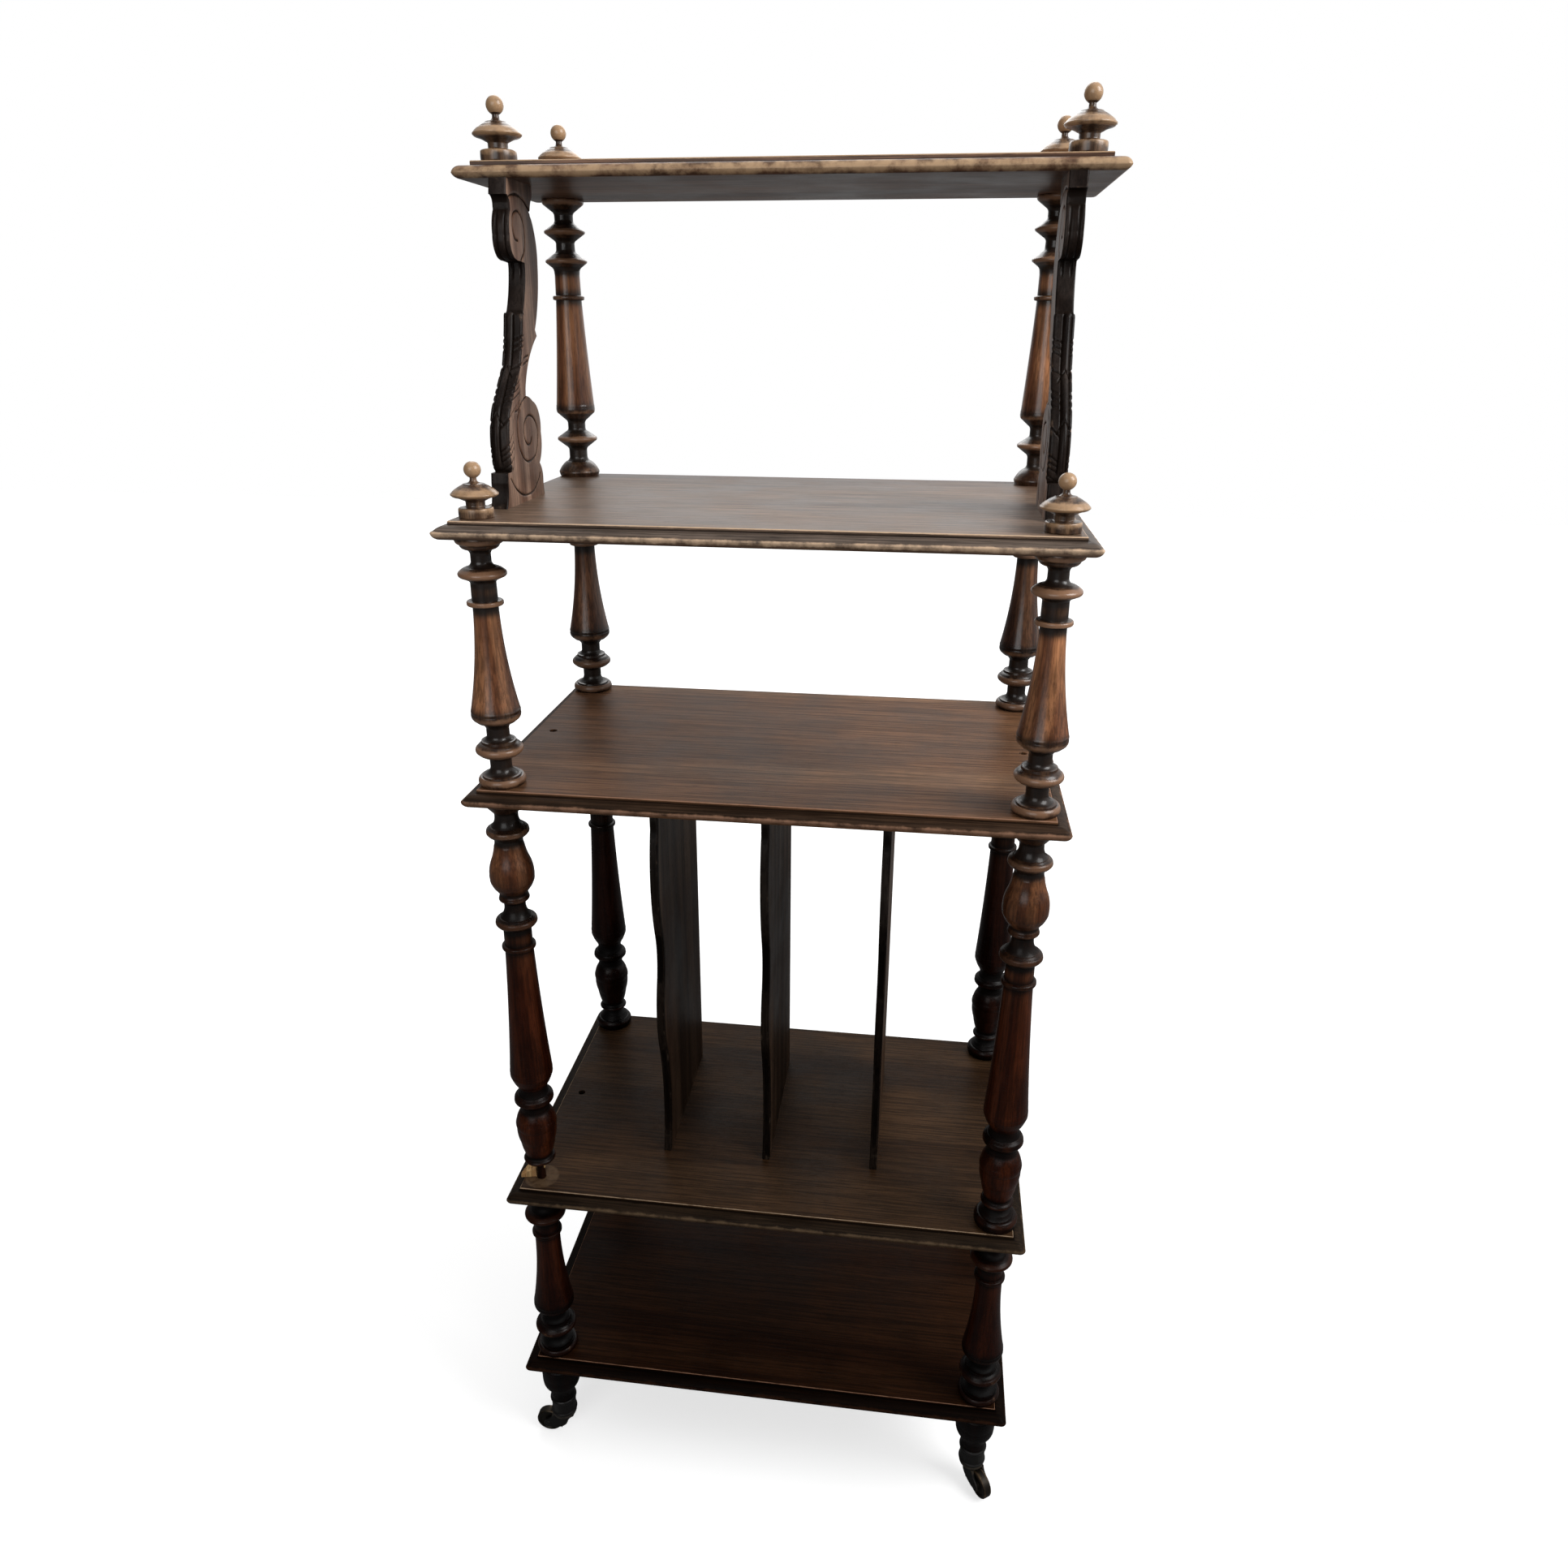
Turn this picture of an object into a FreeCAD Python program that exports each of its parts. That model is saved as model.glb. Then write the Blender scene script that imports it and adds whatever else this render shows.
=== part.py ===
import FreeCAD
import Part
import os

# Mobile shelving unit: five moulded shelves on turned columns, scroll brackets under the shallow
# top shelf, three upright music dividers, turned finials and four swivelling casters.
# Millimetres. +Z up, +X to the right and -Y to the front, as a person faces the unit.
# The origin is on the floor under the middle of the lower shelves.

V = FreeCAD.Vector
X_AXIS = V(1, 0, 0)
Y_AXIS = V(0, 1, 0)
UP = V(0, 0, 1)
ORIGIN = V(0, 0, 0)

# Shelves
shelf_width = 600.0
shelf_depth = 393.0
top_shelf_overhang = 10.0
top_shelf_setback = 156.0
shelf_thickness = 16.0
moulding_run = 14.7
moulding_step_run = 1.2
moulding_step_height = 4.4
nose_height = 6.0
nose_under_run = 5.4

# Clear heights between the shelves, and the height of the turned feet
foot_height = 74.0
bottom_bay_height = 254.5
music_bay_height = 492.0
middle_bay_height = 250.0
display_bay_height = 292.0

# Columns, which stand on tenons that pass through the shelf into the piece below
column_radius = 24.5
column_inset_side = 33.2
column_inset_front = 36.5
column_inset_rear = 31.5
tenon_radius = 5.0
tenon_grip = 20.0
tenon_clearance = 0.15

# The broken base of one music column
broken_height = 26.0
chip_height = 14.0
chip_start_angle = 150.0
chip_angle = 95.0

# Finials
shelf_finial_height = 50.5
shelf_finial_radius = 22.0
top_finial_height = 56.0
top_finial_radius = 23.3
top_finial_inset_side = 36.0
top_finial_inset_front = 37.0
short_pin_length = 11.0

# Scroll brackets, with a stub tenon at each end
bracket_thickness = 17.0
bracket_foot_depth = 114.0
bracket_center_inset = 35.5
bracket_setback_front = 87.5
volute_groove_width = 2.4
volute_groove_depth = 1.5
stub_tenon_thickness = 8.0
stub_tenon_length = 8.0
stub_tenon_clearance = 0.1

# Music dividers, let into housings in the shelves
divider_thickness = 9.0
divider_depth = 201.0
divider_rear_inset = 91.0
divider_place_shares = (-0.2135, -0.0100, 0.2075)
housing_depth = 3.0
housing_clearance = 0.15

# Empty peg holes in the music and middle shelves
peg_hole_radius = 4.0
peg_hole_inset = 34.0

# Casters
wheel_radius = 17.0
wheel_width = 12.0
wheel_chamfer = 2.2
axle_radius = 2.5
axle_clearance = 0.06
axle_end = 1.0
boss_radius = 6.0
trail = 21.0
wheel_gap = 1.2
wheel_side_gap = 0.4
cheek_thickness = 3.0
crown_radius = 15.5
crown_height = 4.0
swivel_gap = 0.3
pivot_radius = 4.0
pivot_clearance = 0.05
pivot_head_radius = 6.5
pivot_head_height = 2.0
cup_radius = 16.4
cup_wall = 1.9
cup_floor = 5.0
cup_height = 26.5
spigot_clearance = 0.15
spigot_end_gap = 0.5
caster_angles = {"front_left": 180.0, "front_right": -56.0, "rear_left": -35.0, "rear_right": 215.0}

# One length by which every cut runs past the solid that it cuts
overrun = 2.0

# Turned outlines, from the bottom up: share of the height and share of the greatest radius
short_column_shares = (
    (0.000, 0.940), (0.038, 0.950), (0.092, 0.450), (0.148, 0.970), (0.208, 0.460), (0.240, 0.460),
    (0.300, 1.000), (0.704, 0.505), (0.727, 0.690), (0.750, 0.500), (0.826, 0.500), (0.855, 0.940),
    (0.918, 0.390), (1.000, 0.945),
)
tall_column_shares = (
    (0.000, 0.940), (0.028, 0.950), (0.084, 0.415), (0.145, 0.930), (0.197, 0.410), (0.254, 0.900),
    (0.640, 0.585), (0.662, 0.700), (0.684, 0.565), (0.752, 0.565), (0.793, 0.935), (0.844, 0.410),
    (0.889, 0.900), (0.938, 0.410), (1.000, 0.930),
)
music_column_shares = (
    (0.000, 0.970), (0.028, 0.970), (0.050, 0.470), (0.064, 0.740), (0.116, 0.870), (0.168, 0.965),
    (0.208, 0.670), (0.244, 0.910), (0.276, 0.720), (0.308, 0.970), (0.612, 0.640), (0.634, 0.740),
    (0.656, 0.610), (0.688, 0.610), (0.715, 0.940), (0.748, 0.460), (0.780, 0.600), (0.822, 0.955),
    (0.904, 0.600), (0.928, 0.930), (0.959, 0.480), (1.000, 0.930),
)
finial_shares = (
    (0.000, 0.730), (0.175, 0.730), (0.210, 0.410), (0.300, 0.410), (0.420, 1.000), (0.535, 0.660),
    (0.600, 0.420), (0.640, 0.200), (0.690, 0.140), (0.745, 0.280), (0.855, 0.355), (0.950, 0.250),
    (1.000, 0.000),
)
foot_shares = (
    (0.000, 0.930), (0.120, 0.920), (0.330, 1.320), (0.430, 1.460), (0.800, 1.460), (0.880, 1.080),
    (1.000, 1.280),
)

# Scroll bracket outline, from the lower rear corner up the back and down the front: share of the
# foot's depth behind its front edge, share of the bay's height, and the bulge of the stretch.
bracket_shares = (
    (1.000, 0.000, 0), (0.990, 0.060, -0.06), (0.922, 0.112, 0.12), (1.014, 0.215, 0.14),
    (0.855, 0.322, 0.22), (0.690, 0.342, 0.06), (0.700, 0.366, 0), (0.849, 0.459, -0.05),
    (1.097, 0.531, -0.04), (1.062, 0.550, 0), (1.261, 0.760, 0.07), (1.217, 0.870, 0.08),
    (1.147, 0.907, 0.06), (1.232, 0.966, -0.10), (1.242, 1.000, 0), (0.604, 1.000, 0),
    (0.569, 0.952, 0), (0.641, 0.931, -0.20), (0.643, 0.911, 0), (0.580, 0.836, 0.10),
    (0.660, 0.770, 0.18), (0.770, 0.763, 0.05), (0.900, 0.760, 0), (0.902, 0.743, 0),
    (0.747, 0.599, -0.06), (0.722, 0.603, 0), (0.573, 0.438, -0.03), (0.247, 0.312, 0.01),
    (0.144, 0.185, 0.08), (0.172, 0.112, 0.04), (0.075, 0.112, 0), (0.060, 0.080, 0), (0.000, 0.000, -0.08),
)
# Volutes: centre of the outermost half turn, as shares of the foot's depth and the bay's height,
# its radius and the growth of a half turn, as shares of the foot's depth, the number of half turns
# and the side of the outermost one, 1 at the back or -1 at the front.
upper_volute_shares = (0.770, 0.836, 0.180, 0.065, 3, 1)
lower_volute_shares = (0.650, 0.223, 0.237, 0.055, 4, -1)
# Front and rear ends of a bracket's stub tenons, as shares of the foot's depth
lower_tenon_shares = (0.25, 0.80)
upper_tenon_shares = (0.99, 1.20)

# Waved front edge of a divider, from the top down: share of the bay's height and the bulge
divider_wave_shares = (
    (1.000, 0), (0.880, 0), (0.620, 0.075), (0.485, -0.085), (0.300, 0.085), (0.000, -0.065),
)

# Bulges of the shelf moulding: its hollow-topped thumb and the round under its nose
thumb_bulge_share = 0.13
under_bulge_share = 0.15

# Side outline of a caster's horn, from the back of its crown down and round to the front: share of
# the crown's radius along the trail, share of the crown's level, and the bulge of the stretch.
horn_shares = (
    (-1.000, 1.000, 0), (-0.300, 0.500, 0.12), (0.450, 0.240, 0.06), (1.300, 0.330, 0), (1.700, 0.520, 0),
    (1.000, 0.840, -0.10), (1.000, 1.000, 0), (-1.000, 1.000, 0),
)

FRONT = ("front_left", "front_right")
REAR = ("rear_left", "rear_right")
SIDES = ((-1, "left"), (1, "right"))

# Levels, from the floor up
crown_bottom = 2 * wheel_radius + wheel_gap
cup_bottom = crown_bottom + crown_height + swivel_gap
foot_bottom = cup_bottom + cup_height
bottom_shelf_z = foot_bottom + foot_height
music_shelf_z = bottom_shelf_z + shelf_thickness + bottom_bay_height
middle_shelf_z = music_shelf_z + shelf_thickness + music_bay_height
upper_shelf_z = middle_shelf_z + shelf_thickness + middle_bay_height
top_shelf_z = upper_shelf_z + shelf_thickness + display_bay_height

# Places in plan
rear_edge_y = shelf_depth / 2
top_shelf_width = shelf_width + 2 * top_shelf_overhang
top_shelf_depth = shelf_depth - top_shelf_setback
top_front_y = rear_edge_y - top_shelf_depth
column_x = shelf_width / 2 - column_inset_side
front_y = column_inset_front - shelf_depth / 2
rear_y = rear_edge_y - column_inset_rear
column_places = {
    "front_left": (-column_x, front_y),
    "front_right": (column_x, front_y),
    "rear_left": (-column_x, rear_y),
    "rear_right": (column_x, rear_y),
}
top_finial_x = top_shelf_width / 2 - top_finial_inset_side
top_finial_y = top_front_y + top_finial_inset_front
peg_hole_x = shelf_width / 2 - peg_hole_inset
bracket_x = shelf_width / 2 - bracket_center_inset
bracket_front_y = bracket_setback_front - shelf_depth / 2
divider_rear = rear_edge_y - divider_rear_inset
divider_front = divider_rear - divider_depth
divider_offsets = [share * shelf_width for share in divider_place_shares]

# Sizes that follow from the fits
tenon_hole_radius = tenon_radius + tenon_clearance
tenon_length = shelf_thickness + tenon_grip
socket_depth = tenon_grip + tenon_clearance
spigot_radius = cup_radius - cup_wall - spigot_clearance
spigot_bottom = cup_bottom + cup_floor + swivel_gap + pivot_head_height + spigot_end_gap
slot_width = wheel_width + 2 * wheel_side_gap
fork_width = slot_width + 2 * cheek_thickness
axle_place = V(trail, 0, wheel_radius)


def bulged_wire(points, normal):
    """A wire through (point, bulge) pairs that turn anticlockwise about the plane's far side.

    A bulge is an arc's rise as a share of its chord, and is positive away from the outline."""
    edges = []
    for (start, _), (end, bulge) in zip(points, points[1:]):
        if bulge:
            middle = (start + end) * 0.5 + normal.cross(end - start) * bulge
            edges.append(Part.Arc(start, middle, end).toShape())
        else:
            edges.append(Part.LineSegment(start, end).toShape())
    return Part.Wire(edges)


def cylinder(radius, height, base, axis=UP):
    return Part.makeCylinder(radius, height, base, axis)


def box(low, high):
    return Part.makeBox(high.x - low.x, high.y - low.y, high.z - low.z, low)


def turned(shares, height, radius, bottom=0):
    """A solid of revolution about Z from a table of height and radius shares."""
    outline = []
    for height_share, radius_share in shares:
        outline.append(V(radius_share * radius, 0, bottom + height_share * height))
    first = outline[0]
    last = outline[-1]
    if last.x > 0:
        outline.append(V(0, 0, last.z))
    outline.append(V(0, 0, first.z))
    outline.append(first)
    return Part.Face(Part.makePolygon(outline)).revolve(ORIGIN, UP, 360)


def moved(shape, place, turn=0.0):
    """A copy of a shape turned about Z and then set at a place."""
    copy = shape.copy()
    copy.rotate(ORIGIN, UP, turn)
    copy.translate(place)
    return copy


def cut(shape, tools):
    for tool in tools:
        shape = shape.cut(tool)
    return shape


def column_point(corner, z):
    x, y = column_places[corner]
    return V(x, y, z)


def board_section(low, high):
    """Closed section of a moulded board: distance across it, height above its underside, bulge."""
    step_foot = shelf_thickness - moulding_step_height
    step_low = low + moulding_run - moulding_step_run
    step_high = high - moulding_run + moulding_step_run
    return (
        (low + nose_under_run, 0, 0),
        (high - nose_under_run, 0, 0),
        (high, nose_height, under_bulge_share),
        (step_high, step_foot, thumb_bulge_share),
        (step_high, shelf_thickness, 0),
        (step_low, shelf_thickness, 0),
        (step_low, step_foot, 0),
        (low, nose_height, thumb_bulge_share),
        (low + nose_under_run, 0, under_bulge_share),
    )


def board(width, depth, z):
    """A board moulded on its four edges: two crossed mouldings meet in mitred corners."""
    run = width + depth
    front_edge_y = rear_edge_y - depth
    across = [(V(at, -run, height), bulge) for at, height, bulge in board_section(-width / 2, width / 2)]
    along = [(V(-run, at, height), bulge) for at, height, bulge in board_section(front_edge_y, rear_edge_y)]
    first = Part.Face(bulged_wire(across, Y_AXIS)).extrude(V(0, 2 * run, 0))
    second = Part.Face(bulged_wire(along, -X_AXIS)).extrude(V(2 * run, 0, 0))
    return moved(first.common(second), V(0, 0, z))


def tenon_holes(corners, z):
    """Through holes in a shelf for the tenons and pins on the columns' axes."""
    height = shelf_thickness + 2 * overrun
    return [cylinder(tenon_hole_radius, height, column_point(corner, z - overrun)) for corner in corners]


def peg_holes(z):
    height = shelf_thickness + 2 * overrun
    return [cylinder(peg_hole_radius, height, V(side * peg_hole_x, 0, z - overrun)) for side, _ in SIDES]


def housings(bottom):
    """Grooves for the ends of the dividers, open at one face of a shelf."""
    tools = []
    for offset in divider_offsets:
        half = divider_thickness / 2 + housing_clearance
        low = V(offset - half, divider_front - housing_clearance, bottom)
        high = V(offset + half, divider_rear + housing_clearance, bottom + housing_depth + overrun)
        tools.append(box(low, high))
    return tools


def bracket_point(depth_share, height_share, x=0):
    y = bracket_front_y + depth_share * bracket_foot_depth
    return V(x, y, upper_shelf_z + shelf_thickness + height_share * display_bay_height)


def stub_tenons(shares, z, clearance=0):
    """The stub tenons of both brackets at one level, or their mortises with a clearance."""
    half = stub_tenon_thickness / 2 + clearance
    reach = stub_tenon_length + clearance
    tenons = []
    for side, _ in SIDES:
        low = V(side * bracket_x - half, bracket_point(shares[0], 0).y - clearance, z - reach)
        high = V(side * bracket_x + half, bracket_point(shares[1], 0).y + clearance, z + reach)
        tenons.append(box(low, high))
    return tenons


def make_shelves():
    corners = FRONT + REAR
    bottom = board(shelf_width, shelf_depth, bottom_shelf_z)
    music = board(shelf_width, shelf_depth, music_shelf_z)
    music = cut(music, tenon_holes(corners, music_shelf_z) + peg_holes(music_shelf_z))
    middle = board(shelf_width, shelf_depth, middle_shelf_z)
    middle = cut(middle, tenon_holes(corners, middle_shelf_z) + peg_holes(middle_shelf_z))
    upper = board(shelf_width, shelf_depth, upper_shelf_z)
    upper = cut(upper, tenon_holes(corners, upper_shelf_z))
    top = board(top_shelf_width, top_shelf_depth, top_shelf_z)
    top = cut(top, tenon_holes(REAR, top_shelf_z))
    blind = short_pin_length + tenon_clearance
    for side, _ in SIDES:
        place = V(side * top_finial_x, top_finial_y, top_shelf_z + shelf_thickness - blind)
        top = top.cut(cylinder(tenon_hole_radius, blind + overrun, place))
    lower_mortises = stub_tenons(lower_tenon_shares, upper_shelf_z + shelf_thickness, stub_tenon_clearance)
    upper_mortises = stub_tenons(upper_tenon_shares, top_shelf_z, stub_tenon_clearance)
    return {
        "bottom_shelf": cut(bottom, tenon_holes(corners, bottom_shelf_z)),
        "music_shelf": cut(music, housings(music_shelf_z + shelf_thickness - housing_depth)),
        "middle_shelf": cut(middle, housings(middle_shelf_z - overrun)),
        "upper_shelf": cut(upper, lower_mortises),
        "top_shelf": cut(top, upper_mortises),
    }


def column(shares, height):
    """A turned column with its tenon below and the socket for the next tenon above."""
    body = turned(shares, height, column_radius)
    tenon = cylinder(tenon_radius, tenon_length + overrun, V(0, 0, -tenon_length))
    socket = cylinder(tenon_hole_radius, socket_depth + overrun, V(0, 0, height - socket_depth))
    return body.fuse(tenon).cut(socket)


def broken_column(whole):
    """A column whose base has split away from its tenon and left one wedge of the base ring."""
    wedge = Part.makeCylinder(column_radius + overrun, chip_height, ORIGIN, UP, chip_angle)
    chip = whole.common(moved(wedge, ORIGIN, chip_start_angle))
    base = cylinder(column_radius + overrun, broken_height, ORIGIN)
    tenon = cylinder(tenon_radius, broken_height + 2 * overrun, V(0, 0, -overrun))
    return whole.cut(base).fuse(tenon).fuse(chip).removeSplitter()


def make_columns():
    bottom = column(short_column_shares, bottom_bay_height)
    music = column(music_column_shares, music_bay_height)
    middle = column(short_column_shares, middle_bay_height)
    display = column(tall_column_shares, display_bay_height)
    columns = {}
    for corner in FRONT + REAR:
        music_piece = broken_column(music) if corner == "front_left" else music
        stack = (
            ("bottom", bottom, bottom_shelf_z),
            ("music", music_piece, music_shelf_z),
            ("middle", middle, middle_shelf_z),
        )
        for name, piece, z in stack:
            columns[name + "_column_" + corner] = moved(piece, column_point(corner, z + shelf_thickness))
    for corner in REAR:
        place = column_point(corner, upper_shelf_z + shelf_thickness)
        columns["display_column_" + corner] = moved(display, place)
    return columns


def finial(height, radius, pin_length):
    """A turned finial: low base, waist, mushroom disc, neck and ball, with its pin below."""
    pin = cylinder(tenon_radius, pin_length + overrun, V(0, 0, -pin_length))
    return turned(finial_shares, height, radius).fuse(pin)


def make_finials():
    """Finials whose long pins also hold the columns below, and two on short blind pins."""
    shelf_finial = finial(shelf_finial_height, shelf_finial_radius, tenon_length)
    rear_finial = finial(top_finial_height, top_finial_radius, tenon_length)
    front_finial = finial(top_finial_height, top_finial_radius, short_pin_length)
    finials = {}
    for corner in FRONT:
        place = column_point(corner, upper_shelf_z + shelf_thickness)
        finials["shelf_finial_" + corner] = moved(shelf_finial, place)
    for corner in REAR:
        place = column_point(corner, top_shelf_z + shelf_thickness)
        finials["top_finial_" + corner] = moved(rear_finial, place)
    for side, name in SIDES:
        place = V(side * top_finial_x, top_finial_y, top_shelf_z + shelf_thickness)
        finials["top_finial_front_" + name] = moved(front_finial, place)
    return finials


def volute_groove(shares, x):
    """A spiral V groove of half rings that shrink towards the eye, in a bracket's face at x."""
    depth_share, height_share, radius_share, growth_share, half_turns, side = shares
    radius = radius_share * bracket_foot_depth
    growth = growth_share * bracket_foot_depth
    half_width = volute_groove_width / 2
    shift = side * growth
    halves = []
    for turn in range(half_turns):
        centre = bracket_point(depth_share, height_share, x) + V(0, 0, shift if turn % 2 else 0)
        start = centre - V(0, 0, radius)
        deep = V(volute_groove_depth, 0, 0)
        across = V(0, 0, half_width)
        section = Part.makePolygon([start - deep, start - across, start + deep, start + across, start - deep])
        halves.append(Part.Face(section).revolve(centre, X_AXIS, side * 180))
        radius -= growth
        side = -side
    return halves


def make_brackets():
    """S-scroll boards with incised volutes on both faces and a stub tenon at each end."""
    outline = [(bracket_point(0, 0), 0)]
    for depth_share, height_share, bulge in bracket_shares:
        outline.append((bracket_point(depth_share, height_share), bulge))
    plate = Part.Face(bulged_wire(outline, -X_AXIS)).extrude(V(bracket_thickness, 0, 0))
    lower = stub_tenons(lower_tenon_shares, upper_shelf_z + shelf_thickness)
    upper = stub_tenons(upper_tenon_shares, top_shelf_z)
    brackets = {}
    for (side, name), lower_tenon, upper_tenon in zip(SIDES, lower, upper):
        board_x = side * bracket_x - bracket_thickness / 2
        bracket = moved(plate, V(board_x, 0, 0))
        for x in (board_x, board_x + bracket_thickness):
            for shares in (upper_volute_shares, lower_volute_shares):
                bracket = cut(bracket, volute_groove(shares, x))
        brackets["scroll_bracket_" + name] = bracket.fuse(lower_tenon).fuse(upper_tenon)
    return brackets


def make_dividers():
    """Upright boards with a waved front edge, let into a housing at each end."""
    bottom = music_shelf_z + shelf_thickness
    reach = housing_depth - housing_clearance
    top_end = bottom + music_bay_height + reach
    outline = [(V(0, divider_front, bottom - reach), 0), (V(0, divider_rear, bottom - reach), 0)]
    outline.append((V(0, divider_rear, top_end), 0))
    outline.append((V(0, divider_front, top_end), 0))
    for height_share, bulge in divider_wave_shares:
        outline.append((V(0, divider_front, bottom + height_share * music_bay_height), bulge))
    outline.append((outline[0][0], 0))
    plate = Part.Face(bulged_wire(outline, -X_AXIS)).extrude(V(divider_thickness, 0, 0))
    dividers = {}
    for offset, name in zip(divider_offsets, ("left", "middle", "right")):
        dividers["music_divider_" + name] = moved(plate, V(offset - divider_thickness / 2, 0, 0))
    return dividers


def make_foot():
    """A turned foot with a socket for the tenon above and a spigot that fills the cup."""
    body = turned(foot_shares, foot_height, cup_radius, foot_bottom)
    spigot = cylinder(spigot_radius, foot_bottom - spigot_bottom + overrun, V(0, 0, spigot_bottom))
    socket = cylinder(tenon_hole_radius, socket_depth + overrun, V(0, 0, bottom_shelf_z - socket_depth))
    return body.fuse(spigot).cut(socket)


def make_cup():
    """A cast cup round the foot's spigot, with a bored floor that carries the swivel."""
    wall = cylinder(cup_radius, cup_height, V(0, 0, cup_bottom))
    hollow = cylinder(cup_radius - cup_wall, cup_height, V(0, 0, cup_bottom + cup_floor))
    bore = cylinder(pivot_radius + pivot_clearance, cup_floor + 2 * overrun, V(0, 0, cup_bottom - overrun))
    return wall.cut(hollow).cut(bore)


def make_horn():
    """A swan-neck fork that trails along +X, with its crown and its headed pivot above."""
    outline = []
    for along_share, height_share, bulge in horn_shares:
        outline.append((V(along_share * crown_radius, -fork_width / 2, height_share * crown_bottom), bulge))
    neck = Part.Face(bulged_wire(outline, Y_AXIS)).extrude(V(0, fork_width, 0))
    boss = cylinder(boss_radius, fork_width, axle_place - V(0, fork_width / 2, 0), Y_AXIS)
    crown = cylinder(crown_radius, crown_height, V(0, 0, crown_bottom))
    head_bottom = cup_bottom + cup_floor + swivel_gap
    pivot = cylinder(pivot_radius, head_bottom - crown_bottom, V(0, 0, crown_bottom))
    head = cylinder(pivot_head_radius, pivot_head_height, V(0, 0, head_bottom))
    pocket_radius = wheel_radius + wheel_gap / 2
    pocket = cylinder(pocket_radius, slot_width, axle_place - V(0, slot_width / 2, 0), Y_AXIS)
    hole_start = axle_place - V(0, fork_width / 2 + overrun, 0)
    hole = cylinder(axle_radius, fork_width + 2 * overrun, hole_start, Y_AXIS)
    solid = neck.fuse(boss).fuse(crown).fuse(pivot).fuse(head)
    return solid.cut(pocket).cut(hole).removeSplitter()


def make_axle():
    """A plain riveted pin that is fast in both cheeks."""
    length = fork_width + 2 * axle_end
    return cylinder(axle_radius, length, axle_place - V(0, length / 2, 0), Y_AXIS)


def make_wheel():
    """A cast wheel with chamfered tread and a plain bore."""
    half = wheel_width / 2
    shoulder = half - wheel_chamfer
    rim = wheel_radius - wheel_chamfer
    bore = axle_radius + axle_clearance
    outline = [
        V(bore, 0, -half), V(rim, 0, -half), V(wheel_radius, 0, -shoulder), V(wheel_radius, 0, shoulder),
        V(rim, 0, half), V(bore, 0, half), V(bore, 0, -half),
    ]
    wheel = Part.Face(Part.makePolygon(outline)).revolve(ORIGIN, UP, 360)
    wheel.rotate(ORIGIN, X_AXIS, 90)
    wheel.translate(axle_place)
    return wheel


def make_casters():
    foot = make_foot()
    cup = make_cup()
    horn = make_horn()
    axle = make_axle()
    wheel = make_wheel()
    casters = {}
    for corner in FRONT + REAR:
        place = column_point(corner, 0)
        angle = caster_angles[corner]
        casters["turned_foot_" + corner] = moved(foot, place)
        casters["caster_cup_" + corner] = moved(cup, place)
        casters["caster_horn_" + corner] = moved(horn, place, angle)
        casters["caster_axle_" + corner] = moved(axle, place, angle)
        casters["caster_wheel_" + corner] = moved(wheel, place, angle)
    return casters


os.makedirs("parts", exist_ok=True)
for make in (make_shelves, make_columns, make_finials, make_brackets, make_dividers, make_casters):
    for node, shape in make().items():
        shape.exportStep(os.path.join("parts", node + ".step"))
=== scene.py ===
import math
from functools import partial

import bpy
import numpy as np
from mathutils import Matrix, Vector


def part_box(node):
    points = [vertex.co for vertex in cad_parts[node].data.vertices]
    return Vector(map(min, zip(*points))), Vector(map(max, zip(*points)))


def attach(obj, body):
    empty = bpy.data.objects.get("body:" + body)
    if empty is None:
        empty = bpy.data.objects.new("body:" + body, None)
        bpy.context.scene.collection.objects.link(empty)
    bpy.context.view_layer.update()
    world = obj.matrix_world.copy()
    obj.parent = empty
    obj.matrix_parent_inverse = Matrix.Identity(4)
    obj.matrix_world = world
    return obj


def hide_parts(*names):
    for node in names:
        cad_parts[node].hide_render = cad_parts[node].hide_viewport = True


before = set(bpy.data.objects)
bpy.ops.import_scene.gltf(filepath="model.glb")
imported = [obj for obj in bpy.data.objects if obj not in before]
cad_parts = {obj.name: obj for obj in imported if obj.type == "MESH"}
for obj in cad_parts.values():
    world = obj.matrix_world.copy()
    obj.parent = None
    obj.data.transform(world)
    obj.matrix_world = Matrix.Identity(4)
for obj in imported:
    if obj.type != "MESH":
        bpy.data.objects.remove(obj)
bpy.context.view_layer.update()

# Mobile shelving unit of stained walnut. +Z is up, +X to the right and -Y to the front, as a person
# faces the unit. Named sizes and outlines are in millimetres, and MM turns them into the frame's
# metres. Meshes, places, lights and the camera are in metres.

MM = 0.001
MERGE_DISTANCE = 1e-6
LEAST_BULGE = 1e-6
FULL_TURN = 2 * math.pi
QUARTER_TURN = math.pi / 2
CORNERS = ("front_left", "front_right", "rear_left", "rear_right")
FRONT = CORNERS[:2]
REAR = CORNERS[2:]
SIDES = ((-1, "left"), (1, "right"))


# Places read from the frame

def middle_of(node):
    low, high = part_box(node)
    return (np.array(low) + np.array(high)) / 2


def top_of(node):
    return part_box(node)[1].z


def underside_of(node):
    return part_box(node)[0].z


COLUMN_PLACES = {corner: middle_of("caster_cup_" + corner)[:2] for corner in CORNERS}
BRACKET_BOTTOM = top_of("upper_shelf")
BRACKET_HEIGHT = (underside_of("top_shelf") - BRACKET_BOTTOM) / MM


# How a mesh's wear is found: rounds of smoothing, and how far an arris stands out that is rubbed
# most. Edges sharper than the angle stay sharp.
SMOOTHING_ROUNDS = 12
ARRIS_RISE = 0.6
SHARP_ANGLE = math.radians(40)

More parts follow.
